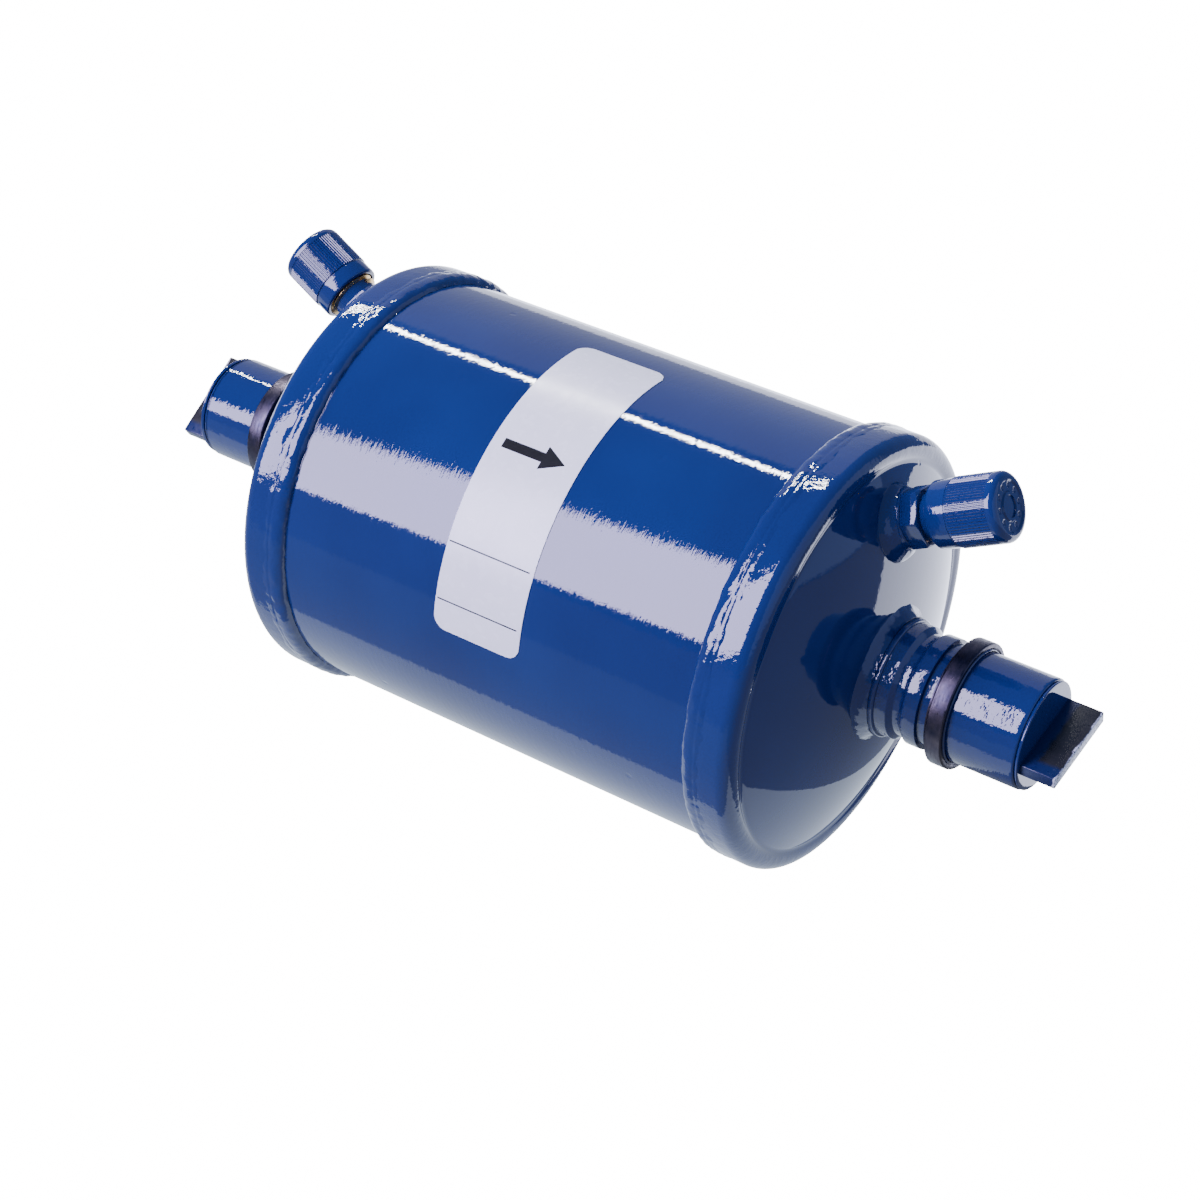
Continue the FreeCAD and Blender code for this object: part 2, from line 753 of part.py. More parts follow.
# The outlet screen is a cup of fine mesh that hangs in the block's bore from its rim.
screen_r = dim.screen_diameter / 2
screen_rim_x = dim.screen_length
keep("outlet_screen", turned_piece("outlet_screen", [
    (None, None),
    (None, screen_r),
    (screen_rim_x, screen_r),
    (screen_rim_x, dim.screen_rim / 2),
    (screen_rim_x + dim.screen_wall, dim.screen_rim / 2),
    (screen_rim_x + dim.screen_wall, screen_r - dim.screen_wall),
    (dim.screen_wall, screen_r - dim.screen_wall),
    (dim.screen_wall, None),
]), raised(outlet_felt_x - screen_rim_x))

inlet_felt_x = block_end_x + dim.seat_gap
half_turn = FreeCAD.Placement(vector(z=axis_height), FreeCAD.Rotation(vector(z=1), 180))
keep("inlet_felt", turned_piece("inlet_felt", [
    (None, block_bore_r),
    (None, felt_r),
    (dim.inlet_felt_thickness, felt_r),
    (dim.inlet_felt_thickness, block_bore_r),
]), half_turn * FreeCAD.Placement(vector(inlet_felt_x), FreeCAD.Rotation()))

inlet_plate_x = inlet_felt_x + dim.inlet_felt_thickness + dim.seat_gap
keep("inlet_plate", turned_piece("inlet_plate", [
    (None, None),
    (None, block_r),
    (plate, block_r),
    (plate, None),
]), half_turn * FreeCAD.Placement(vector(inlet_plate_x), FreeCAD.Rotation()))

# The pack spring is a cone of wire between the inlet plate and the inlet head.
spring_wire = dim.pack_spring_wire
spring_x = inlet_plate_x + plate + spring_wire / 2 + dim.seat_gap
spring_stop_x = crown_x + (inner_crown_radius.squared() - (dim.pack_spring_tip / 2).squared()).root()
spring_height = spring_stop_x.value - spring_x.value - spring_wire.value
pack_spring = helix_spring("pack_spring", dim.pack_spring_tip, dim.pack_spring_base, spring_wire,
                           dim.pack_spring_turns.value, spring_height)
spring_tip = FreeCAD.Placement(vector(spring_x + spring_height), FreeCAD.Rotation(vector(y=1), -90))
keep("pack_spring", pack_spring, half_turn * spring_tip)


# Label: a rectangle bent round the shell, cut to a radius at each corner by a fluted bar
label_r = shell_r + dim.seat_gap
label_wrap = doc.addObject("PartDesign::Body", "label_wrap")
label_band = turning(label_wrap, "label_band", [
    (None, label_r),
    (None, label_r + dim.label_thickness),
    (dim.label_length, label_r + dim.label_thickness),
    (dim.label_length, label_r),
])
label_band.Midplane = True
label_band.setExpression("Angle", "%s / %s * 180 / pi" % (dim.label_height.text, shell_r.text))


def label_bar(number, x, turn):
    """Square bar with a round flute, its round on the label's corner. The four of them stand
    a quarter turn apart."""
    name = "label_bar_%d" % number
    bar = doc.addObject("Part::Box", name)
    for side in ("Length", "Width"):
        bar.setExpression(side, (dim.label_corner * 1.5).text)
    bar.setExpression("Height", (dim.label_corner * 2).text)
    flute = doc.addObject("Part::Cylinder", name + "_flute")
    flute.setExpression("Radius", dim.label_corner.text)
    flute.setExpression("Height", (dim.label_corner * 2).text)
    fluted = cut(name + "_fluted", bar, flute)
    outward = FreeCAD.Placement(vector(), FreeCAD.Rotation(vector(x=1), turn))
    seat = FreeCAD.Placement(vector(x, 0, label_r - dim.label_corner), FreeCAD.Rotation(vector(z=1), 90 * number))
    fluted.Placement = outward * seat
    return fluted


corner_turn = math.degrees((dim.label_height.value / 2 - dim.label_corner.value) / shell_r.value)
label_far_x = dim.label_length - dim.label_corner
label_bars = doc.addObject("Part::Compound", "label_bars")
label_bars.Links = [
    label_bar(0, label_far_x, -corner_turn),
    label_bar(1, dim.label_corner, -corner_turn),
    label_bar(2, dim.label_corner, corner_turn),
    label_bar(3, label_far_x, corner_turn),
]
label_turn = 90 - dim.label_middle.value
keep("label", cut("label", label_wrap, label_bars),
     FreeCAD.Placement(vector(dim.label_length / -2, 0, axis_height), FreeCAD.Rotation(vector(x=1), label_turn)))

doc.recompute()

# Every feature must have built, and every node must be one sound solid.
for feature in doc.Objects:
    if "Invalid" in feature.State or "Error" in feature.State:
        raise RuntimeError("%s did not build: %s" % (feature.Name, feature.State))
for label, shape_object in nodes:
    shape = shape_object.Shape
    if shape.isNull() or not shape.isValid() or len(shape.Solids) != 1 or shape.Volume <= 0:
        raise RuntimeError("%s is not a sound solid" % label)
for label, shape_object in nodes:
    shape_object.Shape.exportStep("parts/%s.step" % label)
print("%d nodes, axis height %.3f mm" % (len(nodes), axis_height.value))
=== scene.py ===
import json
import math

import bpy
from mathutils import Matrix, Vector


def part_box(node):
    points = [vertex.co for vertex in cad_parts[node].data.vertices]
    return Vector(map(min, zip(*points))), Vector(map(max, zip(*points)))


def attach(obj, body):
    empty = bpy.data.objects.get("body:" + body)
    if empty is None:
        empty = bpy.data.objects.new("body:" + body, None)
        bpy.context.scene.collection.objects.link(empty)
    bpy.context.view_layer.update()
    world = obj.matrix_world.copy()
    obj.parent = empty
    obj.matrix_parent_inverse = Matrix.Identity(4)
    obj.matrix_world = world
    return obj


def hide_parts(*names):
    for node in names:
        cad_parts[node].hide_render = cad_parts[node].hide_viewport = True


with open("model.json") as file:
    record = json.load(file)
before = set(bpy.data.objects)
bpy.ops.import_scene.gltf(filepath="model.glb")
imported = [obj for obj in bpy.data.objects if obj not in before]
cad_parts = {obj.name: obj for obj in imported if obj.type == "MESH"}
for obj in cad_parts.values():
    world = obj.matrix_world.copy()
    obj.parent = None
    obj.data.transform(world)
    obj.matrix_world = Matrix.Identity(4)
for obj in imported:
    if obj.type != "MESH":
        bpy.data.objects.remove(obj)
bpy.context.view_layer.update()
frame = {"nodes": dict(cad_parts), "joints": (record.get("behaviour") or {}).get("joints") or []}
mm = 0.001

# The drier's axis runs along X. Outlines are drawn in millimetres as (x, radius) points.
shellLow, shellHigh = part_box("shell_tube")
axisZ = (shellLow.z + shellHigh.z) / 2
shellR = (shellHigh.z - shellLow.z) / 2 / mm
shellEnd = shellHigh.x / mm
onAxis = Vector((0, 0, axisZ))


def boxAlong(node):  # start, end and outer radius of a node turned about the drier's axis
    low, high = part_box(node)
    return low.x / mm, high.x / mm, (high.z - low.z) / 2 / mm


def deselectAll():
    if bpy.context.object and bpy.context.object.mode != "OBJECT":
        bpy.ops.object.mode_set(mode="OBJECT")
    bpy.ops.object.select_all(action="DESELECT")


def pick(piece):
    deselectAll()
    piece.select_set(True)
    bpy.context.view_layer.objects.active = piece


def nameIt(piece, name):
    piece.name = name
    piece.data.name = name


def place(piece, location=onAxis, turn=(0, 0, 0)):
    pick(piece)
    piece.location = location
    piece.rotation_euler = turn
    bpy.ops.object.transform_apply(location=True, rotation=True, scale=True)


def drawSteps(name, start, steps):  # one vertex at start, extruded step by step, all in millimetres
    deselectAll()
    bpy.ops.mesh.primitive_plane_add(size=mm)
    piece = bpy.context.object
    nameIt(piece, name)
    bpy.ops.object.mode_set(mode="EDIT")
    bpy.ops.mesh.merge(type="CENTER")
    bpy.ops.transform.translate(value=tuple(part * mm for part in start))
    for step in steps:
        move = tuple(part * mm for part in step)
        bpy.ops.mesh.extrude_region_move(TRANSFORM_OT_translate={"value": move})
    bpy.ops.mesh.select_all(action="SELECT")
    bpy.ops.mesh.remove_doubles(threshold=1e-7)
    return piece


def turned(name, outline, sides, closed=True):  # spins an outline of (x, radius) points about X
    stops = outline[1:] + outline[:1] if closed else outline[1:]
    steps = [(there[0] - here[0], 0, there[1] - here[1]) for here, there in zip(outline, stops)]
    piece = drawSteps(name, (outline[0][0], 0, outline[0][1]), steps)
    bpy.ops.mesh.spin(steps=sides, angle=math.tau, center=(0, 0, 0), axis=(1, 0, 0))
    bpy.ops.mesh.select_all(action="SELECT")
    bpy.ops.mesh.remove_doubles(threshold=2e-6)
    bpy.ops.mesh.normals_make_consistent(inside=False)
    bpy.ops.object.mode_set(mode="OBJECT")
    return piece


def arc(centerX, centerR, radius, fromAngle, toAngle, steps):  # points of an arc, angles in degrees from +X
    points = []
    for step in range(steps + 1):
        angle = math.radians(fromAngle + (toAngle - fromAngle) * step / steps)
        points.append((centerX + radius * math.cos(angle), centerR + radius * math.sin(angle)))
    return points


def applyModifier(piece, kind, **settings):
    pick(piece)
    bpy.ops.object.modifier_add(type=kind)
    modifier = piece.modifiers[-1]
    for key, value in settings.items():
        setattr(modifier, key, value)
    bpy.ops.object.modifier_apply(modifier=modifier.name)


def softEdges(piece, width, segments=3, angle=40):  # rounds the edges sharper than angle
    applyModifier(piece, "BEVEL", width=width * mm, segments=segments, limit_method="ANGLE",
                  angle_limit=math.radians(angle), harden_normals=False)


def smooth(piece, angle=35):
    pick(piece)
    bpy.ops.object.shade_smooth_by_angle(angle=math.radians(angle))


def lumps(piece, size, depth):  # clouds that move the surface inwards only
    clouds = bpy.data.textures.new(piece.name + "Lumps", "CLOUDS")
    clouds.noise_scale = size * mm
    clouds.noise_depth = 2
    applyModifier(piece, "DISPLACE", texture=clouds, texture_coords="LOCAL", mid_level=1,
                  strength=depth * mm)


def otherEnd(piece):  # copy with its own mesh, turned half round to the inlet end
    pick(piece)
    bpy.ops.object.duplicate(linked=False)
    twin = bpy.context.object
    nameIt(twin, piece.name.replace("outlet", "inlet"))
    place(twin, (0, 0, 0), (0, 0, math.pi))
    return twin


def finishPiece(piece, body, materials, nodes=()):
    piece.data.materials.clear()
    for material in materials:
        piece.data.materials.append(material)
    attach(piece, body)
    if nodes:
        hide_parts(*nodes)


# Materials
def newMaterial(name, look):  # look holds the shader's uniform numbers and colours
    material = bpy.data.materials.new(name)
    material.use_nodes = True
    shader = material.node_tree.nodes["Principled BSDF"]
    for socket, value in look.items():
        shader.inputs[socket].default_value = value
    return material


def addNode(material, kind, x, y, **settings):
    node = material.node_tree.nodes.new(kind)
    node.location = (x, y)
    for key, value in settings.items():
        setattr(node, key, value)
    return node


def link(material, source, target):
    material.node_tree.links.new(source, target)


def noise(material, scale, stretch=(1, 1, 1), detail=2, roughness=0.5, y=0):  # noise in object metres
    coords = addNode(material, "ShaderNodeTexCoord", -1300, y)
    mapping = addNode(material, "ShaderNodeMapping", -1100, y)
    mapping.inputs["Scale"].default_value = stretch
    cloud = addNode(material, "ShaderNodeTexNoise", -900, y)
    cloud.inputs["Scale"].default_value = scale
    cloud.inputs["Detail"].default_value = detail
    cloud.inputs["Roughness"].default_value = roughness
    link(material, coords.outputs["Object"], mapping.inputs["Vector"])
    link(material, mapping.outputs["Vector"], cloud.inputs["Vector"])
    return cloud.outputs["Fac"]


def ramp(material, source, stops, y=0):  # stops of (position, colour)
    node = addNode(material, "ShaderNodeValToRGB", -650, y)
    elements = node.color_ramp.elements
    while len(elements) < len(stops):
        elements.new(0.5)
    for element, (position, color) in zip(elements, stops):
        element.position = position
        element.color = color if len(color) == 4 else (*color, 1)
    link(material, source, node.inputs["Fac"])
    return node.outputs["Color"]


def grey(level):
    return (level, level, level, 1)


def bump(material, height, depth, under=None, x=-300, y=-400):  # depth in millimetres
    node = addNode(material, "ShaderNodeBump", x, y)
    node.inputs["Distance"].default_value = depth * mm
    node.inputs["Strength"].default_value = 1
    link(material, height, node.inputs["Height"])
    if under:
        link(material, under, node.inputs["Normal"])
    return node.outputs["Normal"]


def shaderOf(material):
    return material.node_tree.nodes["Principled BSDF"]


enamelLook = {
    "deep": (0.0046, 0.0175, 0.100),
    "bright": (0.0054, 0.0235, 0.125),
    "tintScale": 30,
    "fineScale": 1700,
    "rolled": (1, 0.28, 0.28),
    "even": (1, 1, 1),
    "pinholeScale": 75,
    "pinholeDepth": 0.05,
    "pinholeEdge": (0.03, 0.07),
}


def makeEnamel(name, rippleScale, rippleDepth, fineDepth, stretch, pinholes=False):
    # blue paint: a dark base under a clear coat that gives all its reflections
    material = newMaterial(name, {
        "Roughness": 0.3,
        "Specular IOR Level": 0.0,
        "Coat Weight": 1.0,
        "Coat Roughness": 0.03,
        "Coat IOR": 1.6,
    })
    shader = shaderOf(material)
    tint = noise(material, enamelLook["tintScale"], detail=3, y=300)
    color = ramp(material, tint, [(0.35, enamelLook["deep"]), (0.65, enamelLook["bright"])], y=300)
    link(material, color, shader.inputs["Base Color"])
    ripple = noise(material, rippleScale, stretch, 3, 0.6, -300)
    surface = bump(material, ripple, rippleDepth)
    fine = noise(material, enamelLook["fineScale"], detail=1, y=-600)
    surface = bump(material, fine, fineDepth, under=surface, x=-100, y=-600)
    if pinholes:
        coords = addNode(material, "ShaderNodeTexCoord", -1300, -900)
        cells = addNode(material, "ShaderNodeTexVoronoi", -900, -900)
        cells.inputs["Scale"].default_value = enamelLook["pinholeScale"]
        link(material, coords.outputs["Object"], cells.inputs["Vector"])
        pitR, rimR = enamelLook["pinholeEdge"]
        pits = ramp(material, cells.outputs["Distance"], [(pitR, grey(0)), (rimR, grey(1))], y=-900)
        surface = bump(material, pits, enamelLook["pinholeDepth"], under=surface, x=100, y=-900)
    link(material, surface, shader.inputs["Normal"])
    link(material, surface, shader.inputs["Coat Normal"])
    return material


shellEnamel = makeEnamel("shellEnamel", 1000, 0.034, 0.006, enamelLook["rolled"], True)
headEnamel = makeEnamel("headEnamel", 500, 0.010, 0.001, enamelLook["even"], True)
skirtEnamel = makeEnamel("skirtEnamel", 420, 0.100, 0.005, enamelLook["even"], True)
weldEnamel = makeEnamel("weldEnamel", 380, 0.150, 0.005, enamelLook["even"])
socketEnamel = makeEnamel("socketEnamel", 420, 0.085, 0.005, enamelLook["even"], True)
neckEnamel = makeEnamel("neckEnamel", 420, 0.110, 0.006, enamelLook["even"])
capEnamel = makeEnamel("capEnamel", 700, 0.040, 0.004, enamelLook["even"])
hexEnamel = makeEnamel("hexEnamel", 700, 0.020, 0.003, enamelLook["even"])
flangeEnamel = makeEnamel("flangeEnamel", 600, 0.020, 0.002, enamelLook["even"])


def makeMetal(name, dull, shiny, roughness, scratchScale, stretch=(1, 1, 1)):
    material = newMaterial(name, {"Metallic": 1.0})
    shader = shaderOf(material)
    patches = noise(material, 260, detail=4, y=300)
    link(material, ramp(material, patches, [(0.35, dull), (0.7, shiny)], y=300), shader.inputs["Base Color"])
    scratches = noise(material, scratchScale, stretch, 3, 0.6, -100)
    low, high = roughness
    link(material, ramp(material, scratches, [(0.3, grey(low)), (0.7, grey(high))], y=-100),
         shader.inputs["Roughness"])
    link(material, bump(material, scratches, 0.01), shader.inputs["Normal"])
    return material


brassMetal = makeMetal("brassMetal", (0.45, 0.28, 0.09), (0.78, 0.55, 0.22), (0.18, 0.35), 900)
steelMetal = makeMetal("steelMetal", (0.30, 0.30, 0.31), (0.55, 0.55, 0.56), (0.25, 0.5), 700,
                       (0.2, 1, 1))
collarMetal = makeMetal("collarMetal", (0.030, 0.030, 0.055), (0.085, 0.070, 0.085), (0.25, 0.50),
                        900, (2.5, 0.5, 0.5))
springMetal = makeMetal("springMetal", (0.35, 0.35, 0.36), (0.60, 0.60, 0.60), (0.2, 0.35), 1500)


def makePlastic(name, dark, light, roughness, grainScale, grainDepth):
    material = newMaterial(name, {"IOR": 1.5})
    shader = shaderOf(material)
    cloud = noise(material, 180, detail=3, y=300)
    link(material, ramp(material, cloud, [(0.35, dark), (0.7, light)], y=300), shader.inputs["Base Color"])
    low, high = roughness
    grain = noise(material, grainScale, detail=2, y=-100)
    link(material, ramp(material, grain, [(0.3, grey(low)), (0.7, grey(high))], y=-100),
         shader.inputs["Roughness"])
    link(material, bump(material, grain, grainDepth), shader.inputs["Normal"])
    return material


whiteFilm = makePlastic("whiteFilm", (0.90, 0.90, 0.93), (0.94, 0.94, 0.96), (0.20, 0.30), 500, 0.006)
printInk = makePlastic("printInk", (0.006, 0.006, 0.007), (0.010, 0.010, 0.011), (0.40, 0.50),
                       500, 0.004)
shaderOf(printInk).inputs["Specular IOR Level"].default_value = 0.15
desiccantStone = makePlastic("desiccantStone", (0.55, 0.50, 0.42), (0.72, 0.68, 0.60), (0.8, 0.95),
                             1600, 0.12)
feltWool = makePlastic("feltWool", (0.62, 0.60, 0.55), (0.80, 0.78, 0.73), (0.9, 1.0), 2400, 0.15)
sealRubber = makePlastic("sealRubber", (0.010, 0.010, 0.010), (0.022, 0.022, 0.022), (0.5, 0.7),
                         1200, 0.01)


tabLook = {
    "dark": (0.010, 0.009, 0.010),
    "light": (0.022, 0.020, 0.021),
    "paint": (0.004, 0.012, 0.070),
    "paintReach": 2.4,
    "paintFade": 0.4,
    "paintBelow": -7.4,
    "belowFade": 0.5,
    "mistScale": 320,
    "mistReach": 1.6,
    "tipSpeck": (0.70, 0.70, 0.78),
    "tipSpeckFrom": 0.3,
    "tipSpeckFade": 0.1,
    "tipSpeckScale": 1500,
}


def makeTabMould(name, rootX, tipX, turn):  # black plastic with paint mist at the root and light lavender-grey specks in the colour at the tip
    material = makePlastic(name, tabLook["dark"], tabLook["light"], (0.25, 0.42), 1100, 0.02)
    shader = shaderOf(material)
    black = shader.inputs["Base Color"].links[0].from_socket
    coords = addNode(material, "ShaderNodeTexCoord", -1500, 900)
    mapping = addNode(material, "ShaderNodeMapping", -1300, 900, vector_type="TEXTURE")
    mapping.inputs["Location"].default_value = onAxis
    mapping.inputs["Rotation"].default_value = (math.radians(turn), 0, 0)
    link(material, coords.outputs["Object"], mapping.inputs["Vector"])
    split = addNode(material, "ShaderNodeSeparateXYZ", -1100, 900)
    link(material, mapping.outputs["Vector"], split.inputs["Vector"])
    mist = noise(material, tabLook["mistScale"], detail=3, roughness=0.6, y=1200)
    mistReach = tabLook["mistReach"] * mm

    def fade(source, start, end, y):  # 1 before start, 0 after end, with the mist on the border
        spread = addNode(material, "ShaderNodeMath", -900, y, operation="MULTIPLY_ADD")
        link(material, mist, spread.inputs[0])
        spread.inputs[1].default_value = mistReach
        link(material, source, spread.inputs[2])
        share = addNode(material, "ShaderNodeMapRange", -700, y)
        share.inputs["From Min"].default_value = start + mistReach / 2
        share.inputs["From Max"].default_value = end + mistReach / 2
        share.inputs["To Min"].default_value = 1
        share.inputs["To Max"].default_value = 0
        link(material, spread.outputs[0], share.inputs["Value"])
        return share.outputs["Result"]

    def mathOf(operation, first, second, x, y):
        node = addNode(material, "ShaderNodeMath", x, y, operation=operation)
        link(material, first, node.inputs[0])
        link(material, second, node.inputs[1])
        return node.outputs[0]

    def mixOver(under, color, share, x):
        node = addNode(material, "ShaderNodeMixRGB", x, 600)
        node.inputs["Color2"].default_value = (*color, 1)
        link(material, share, node.inputs["Fac"])
        link(material, under, node.inputs["Color1"])
        return node.outputs["Color"]

    side = 1 if tipX > rootX else -1
    edge = rootX + side * tabLook["paintReach"] * mm
    soft = side * tabLook["paintFade"] * mm
    nearRoot = fade(split.outputs["X"], edge - soft, edge + soft, 1400)
    low = tabLook["paintBelow"] * mm
    soft = tabLook["belowFade"] * mm
    below = fade(split.outputs["Y"], low - soft, low + soft, 1600)
    painted = mathOf("MAXIMUM", nearRoot, below, -500, 1400)
    blue = mixOver(black, tabLook["paint"], painted, -300)
    # light lavender-grey specks mixed into the base colour over the last 0.3 mm of the tab's tip
    grain = noise(material, tabLook["tipSpeckScale"], detail=2, roughness=0.7, y=2000)
    specks = ramp(material, grain, [(0.36, grey(0)), (0.48, grey(1))], y=2000)
    end = tipX - side * tabLook["tipSpeckFrom"] * mm
    soft = side * tabLook["tipSpeckFade"] * mm
    atTip = fade(split.outputs["X"], end + soft, end - soft, 1800)
    tipSpeckShare = mathOf("MULTIPLY", specks, atTip, -300, 1800)
    link(material, mixOver(blue, tabLook["tipSpeck"], tipSpeckShare, -100), shader.inputs["Base Color"])
    return material


print("materials ready")


# Shell
shellSize = {"sides": 360, "wall": 1.5, "step": 6.0}


def makeShell():
    count = round(shellEnd * 2 / shellSize["step"])
    along = [-shellEnd + shellEnd * 2 * index / count for index in range(count + 1)]
    inner = shellR - shellSize["wall"]
    outline = [(x, shellR) for x in along] + [(x, inner) for x in (shellEnd, -shellEnd)]
    shell = turned("shell", outline, shellSize["sides"])
    place(shell)
    smooth(shell)
    finishPiece(shell, "housing", [shellEnamel], ["shell_tube"])


makeShell()
print("shell done")

# Heads with skirt, knuckle, crease and crown
head = {
    "sides": 360,
    "wall": 1.6,
    "knuckle": 3.1,
    "knucklePast": 9,
    "knuckleRows": 22,
    "creaseDrop": 4.7,
    "creaseRound": 0.9,
    "crown": 98.0,
    "crownRows": 40,
    "insideRows": 12,
    "neckHole": 10.5,
    "skirtEdge": 0.5,
    "skirtLength": 5.3,
    "skirtFrom": 42.4,
}
headBox = boxAlong("outlet_end_cap")
headStart, skirtR = headBox[0], headBox[2]


def crownX(radius, ball):  # x of the crown at a radius, ball is the crown's own radius
    return head["crownCenter"] + math.sqrt(ball ** 2 - radius ** 2)


def makeHead():
    kneeX = headStart + head["skirtLength"]
    kneeR = skirtR - head["knuckle"]
    creaseR = skirtR - head["creaseDrop"]
    creaseX = kneeX + math.sqrt(head["knuckle"] ** 2 - (kneeR - creaseR) ** 2)
    head["crownCenter"] = creaseX - math.sqrt(head["crown"] ** 2 - creaseR ** 2)
    hole = head["neckHole"]
    inner = skirtR - head["wall"]
    edge = head["skirtEdge"]
    turnDown = math.degrees(math.asin((creaseR - kneeR) / head["knuckle"]))
    outline = [(headStart, inner + edge * 0.2), (headStart, skirtR - edge)]
    outline += arc(headStart + edge, skirtR - edge, edge, 180, 90, 4)[1:]
    outline += arc(kneeX, kneeR, head["knuckle"], 90, turnDown + head["knucklePast"], head["knuckleRows"])
    crownStart = creaseR - head["creaseRound"] * 0.75
    outline += [(creaseX + 0.02, creaseR - head["creaseRound"] * 0.18)]
    for index in range(head["crownRows"] + 1):
        radius = crownStart + (hole - crownStart) * index / head["crownRows"]
        outline.append((crownX(radius, head["crown"]), radius))
    for index in range(head["insideRows"] + 1):
        radius = hole + (creaseR - hole) * index / head["insideRows"]
        outline.append((crownX(radius, head["crown"] - head["wall"]), radius))
    outline += [(kneeX + head["knuckle"] - head["wall"], kneeR)]
    outline += arc(kneeX, kneeR, head["knuckle"] - head["wall"], 0, 90, 6)[1:]
    piece = turned("outlet_head", outline, head["sides"])
    place(piece)
    smooth(piece, 50)
    return piece


outletHead = makeHead()
for side, piece in (("outlet", outletHead), ("inlet", otherEnd(outletHead))):
    finishPiece(piece, "housing", [headEnamel, skirtEnamel], [side + "_end_cap"])
    for face in piece.data.polygons:
        radius = math.hypot(face.center.y, face.center.z - axisZ) / mm
        face.material_index = 1 if radius > head["skirtFrom"] else 0
print("heads done")

# Seam welds
seamWeld = {
    "sides": 480,
    "rows": 26,
    "lump": 2.8,
    "depth": 0.36,
    "crestAt": 0.55,
    "reach": 1.02,
    "lean": 0.8,
    "fullness": 0.6,
    "undercut": 0.4,
}


def makeSeamWeld():
    start, end, crest = boxAlong("outlet_seam_weld")
    rise = crest - shellR
    crestAt = seamWeld["crestAt"]
    outline = []
    for index in range(seamWeld["rows"] + 1):
        share = index / seamWeld["rows"]
        if share < crestAt:
            hill = math.sin(math.pi * (share * seamWeld["reach"]) ** seamWeld["lean"])
            radius = shellR + rise * hill ** seamWeld["fullness"]
        else:
            fall = (share - crestAt) / (1 - crestAt)
            radius = crest - (crest - skirtR) * (1 - math.cos(math.pi * fall)) / 2
        outline.append((start + (end - start) * share, radius))
    outline += [(end, skirtR - seamWeld["undercut"])]
    outline += [(headStart + 0.2, shellR + 0.3), (start, shellR - 0.1)]
    piece = turned("outlet_seam_bead", outline, seamWeld["sides"])
    place(piece)
    lumps(piece, seamWeld["lump"], seamWeld["depth"])
    smooth(piece, 60)
    return piece


outletBead = makeSeamWeld()
for side, bead in (("outlet", outletBead), ("inlet", otherEnd(outletBead))):
    finishPiece(bead, "housing", [weldEnamel], [side + "_seam_weld"])
print("seam welds done")

# Necks, collars and sockets
neck = {
    "sides": 240,
    "shank": 3.6,
    "shankRelief": 0.6,
    "boreR": 8.6,
    "shankR": 10.45,
    "shoulderR": 12.4,
    "shoulderLength": 3.2,
    "shoulderEdge": 0.25,
    "stepR": 11.8,
    "stepLength": 2.6,
    "grooveR": 10.6,
    "grooveLength": 3.2,
    "grooveSlope": 0.27,
    "ringR": 11.5,
    "ringLength": 3.0,
    "collarLength": 3.7,
    "seatDepth": 4.5,
    "seatGap": 0.5,
    "round": 0.45,
    "scoreAt": 1.9,
    "scoreHalf": 0.22,
    "scoreFloor": 0.08,
    "scoreDepth": 0.22,
    "socketRound": {"inlet": 1.4, "outlet": 0.45},
    "socketWall": 1.9,
    "socketRows": 5,
}
neckStart, collarEnd, collarR = boxAlong("outlet_neck")
neckSeat = neckStart + neck["shank"]
collarStart = collarEnd - neck["collarLength"]
socketSeat = collarEnd - neck["seatDepth"]
socketStart, socketEnd, socketR = boxAlong("outlet_socket")


def score(x, radius):  # fine turned groove in a cylinder
    half, floor, bottom = neck["scoreHalf"], neck["scoreFloor"], radius - neck["scoreDepth"]
    return [(x - half, radius), (x - floor, bottom), (x + floor, bottom), (x + half, radius)]


def makeNeck():
    shoulder, groove, edge = neck["shoulderR"], neck["grooveR"], neck["shoulderEdge"]
    shankEnd = neckSeat - neck["shankRelief"]
    stepX = neckSeat + neck["shoulderLength"]
    grooveX = stepX + neck["stepLength"]
    ringX = grooveX + neck["grooveLength"]
    ringEnd = ringX + neck["ringLength"]
    slope = neck["grooveLength"] * neck["grooveSlope"]
    seatR = socketR - neck["seatGap"]
    outline = [(neckStart, neck["boreR"]), (neckStart, neck["shankR"]), (shankEnd, neck["shankR"])]
    outline += [(shankEnd, shoulder)]
    outline += score(neckSeat + neck["scoreAt"], shoulder)
    outline += [(stepX - edge, shoulder), (stepX, shoulder - edge), (stepX, neck["stepR"])]
    outline += [(grooveX - 0.1, neck["stepR"]), (grooveX + slope, groove)]
    outline += [(ringX - slope, groove), (ringX, neck["ringR"]), (ringEnd, neck["ringR"])]
    outline += [(ringEnd + 0.1, groove), (collarStart + 1, groove)]
    outline += [(collarStart + 1, seatR), (socketSeat, seatR), (socketSeat, neck["boreR"])]
    piece = turned("outlet_turned_neck", outline, neck["sides"])
    softEdges(piece, neck["round"], 4, 20)
    place(piece)
    smooth(piece, 45)
    return piece


collar = {"edge": 0.35, "cupGap": 0.06, "mouthRise": 0.75, "mouthDepth": 0.7, "foot": 0.4}


def makeCollar():
    inner = socketR + collar["cupGap"]
    edge = collar["edge"]
    footR = neck["grooveR"] - collar["foot"]
    outline = [(collarStart, footR), (collarStart, collarR - edge)]
    outline += arc(collarStart + edge, collarR - edge, edge, 180, 90, 4)
    outline += arc(collarEnd - edge, collarR - edge, edge, 90, 0, 4)
    outline += [(collarEnd, inner + collar["mouthRise"]), (collarEnd - collar["mouthDepth"], inner)]
    outline += [(socketSeat, inner), (socketSeat, footR)]
    piece = turned("outlet_collar", outline, neck["sides"])
    place(piece)
    smooth(piece, 40)
    return piece


collarBead = {
    "outline": ((-0.75, 0.02), (-0.62, 0.62), (-0.15, 0.66), (0.12, 0.40), (0.45, 0.02)),
    "lump": 2.6,
    "depth": 0.22,
}


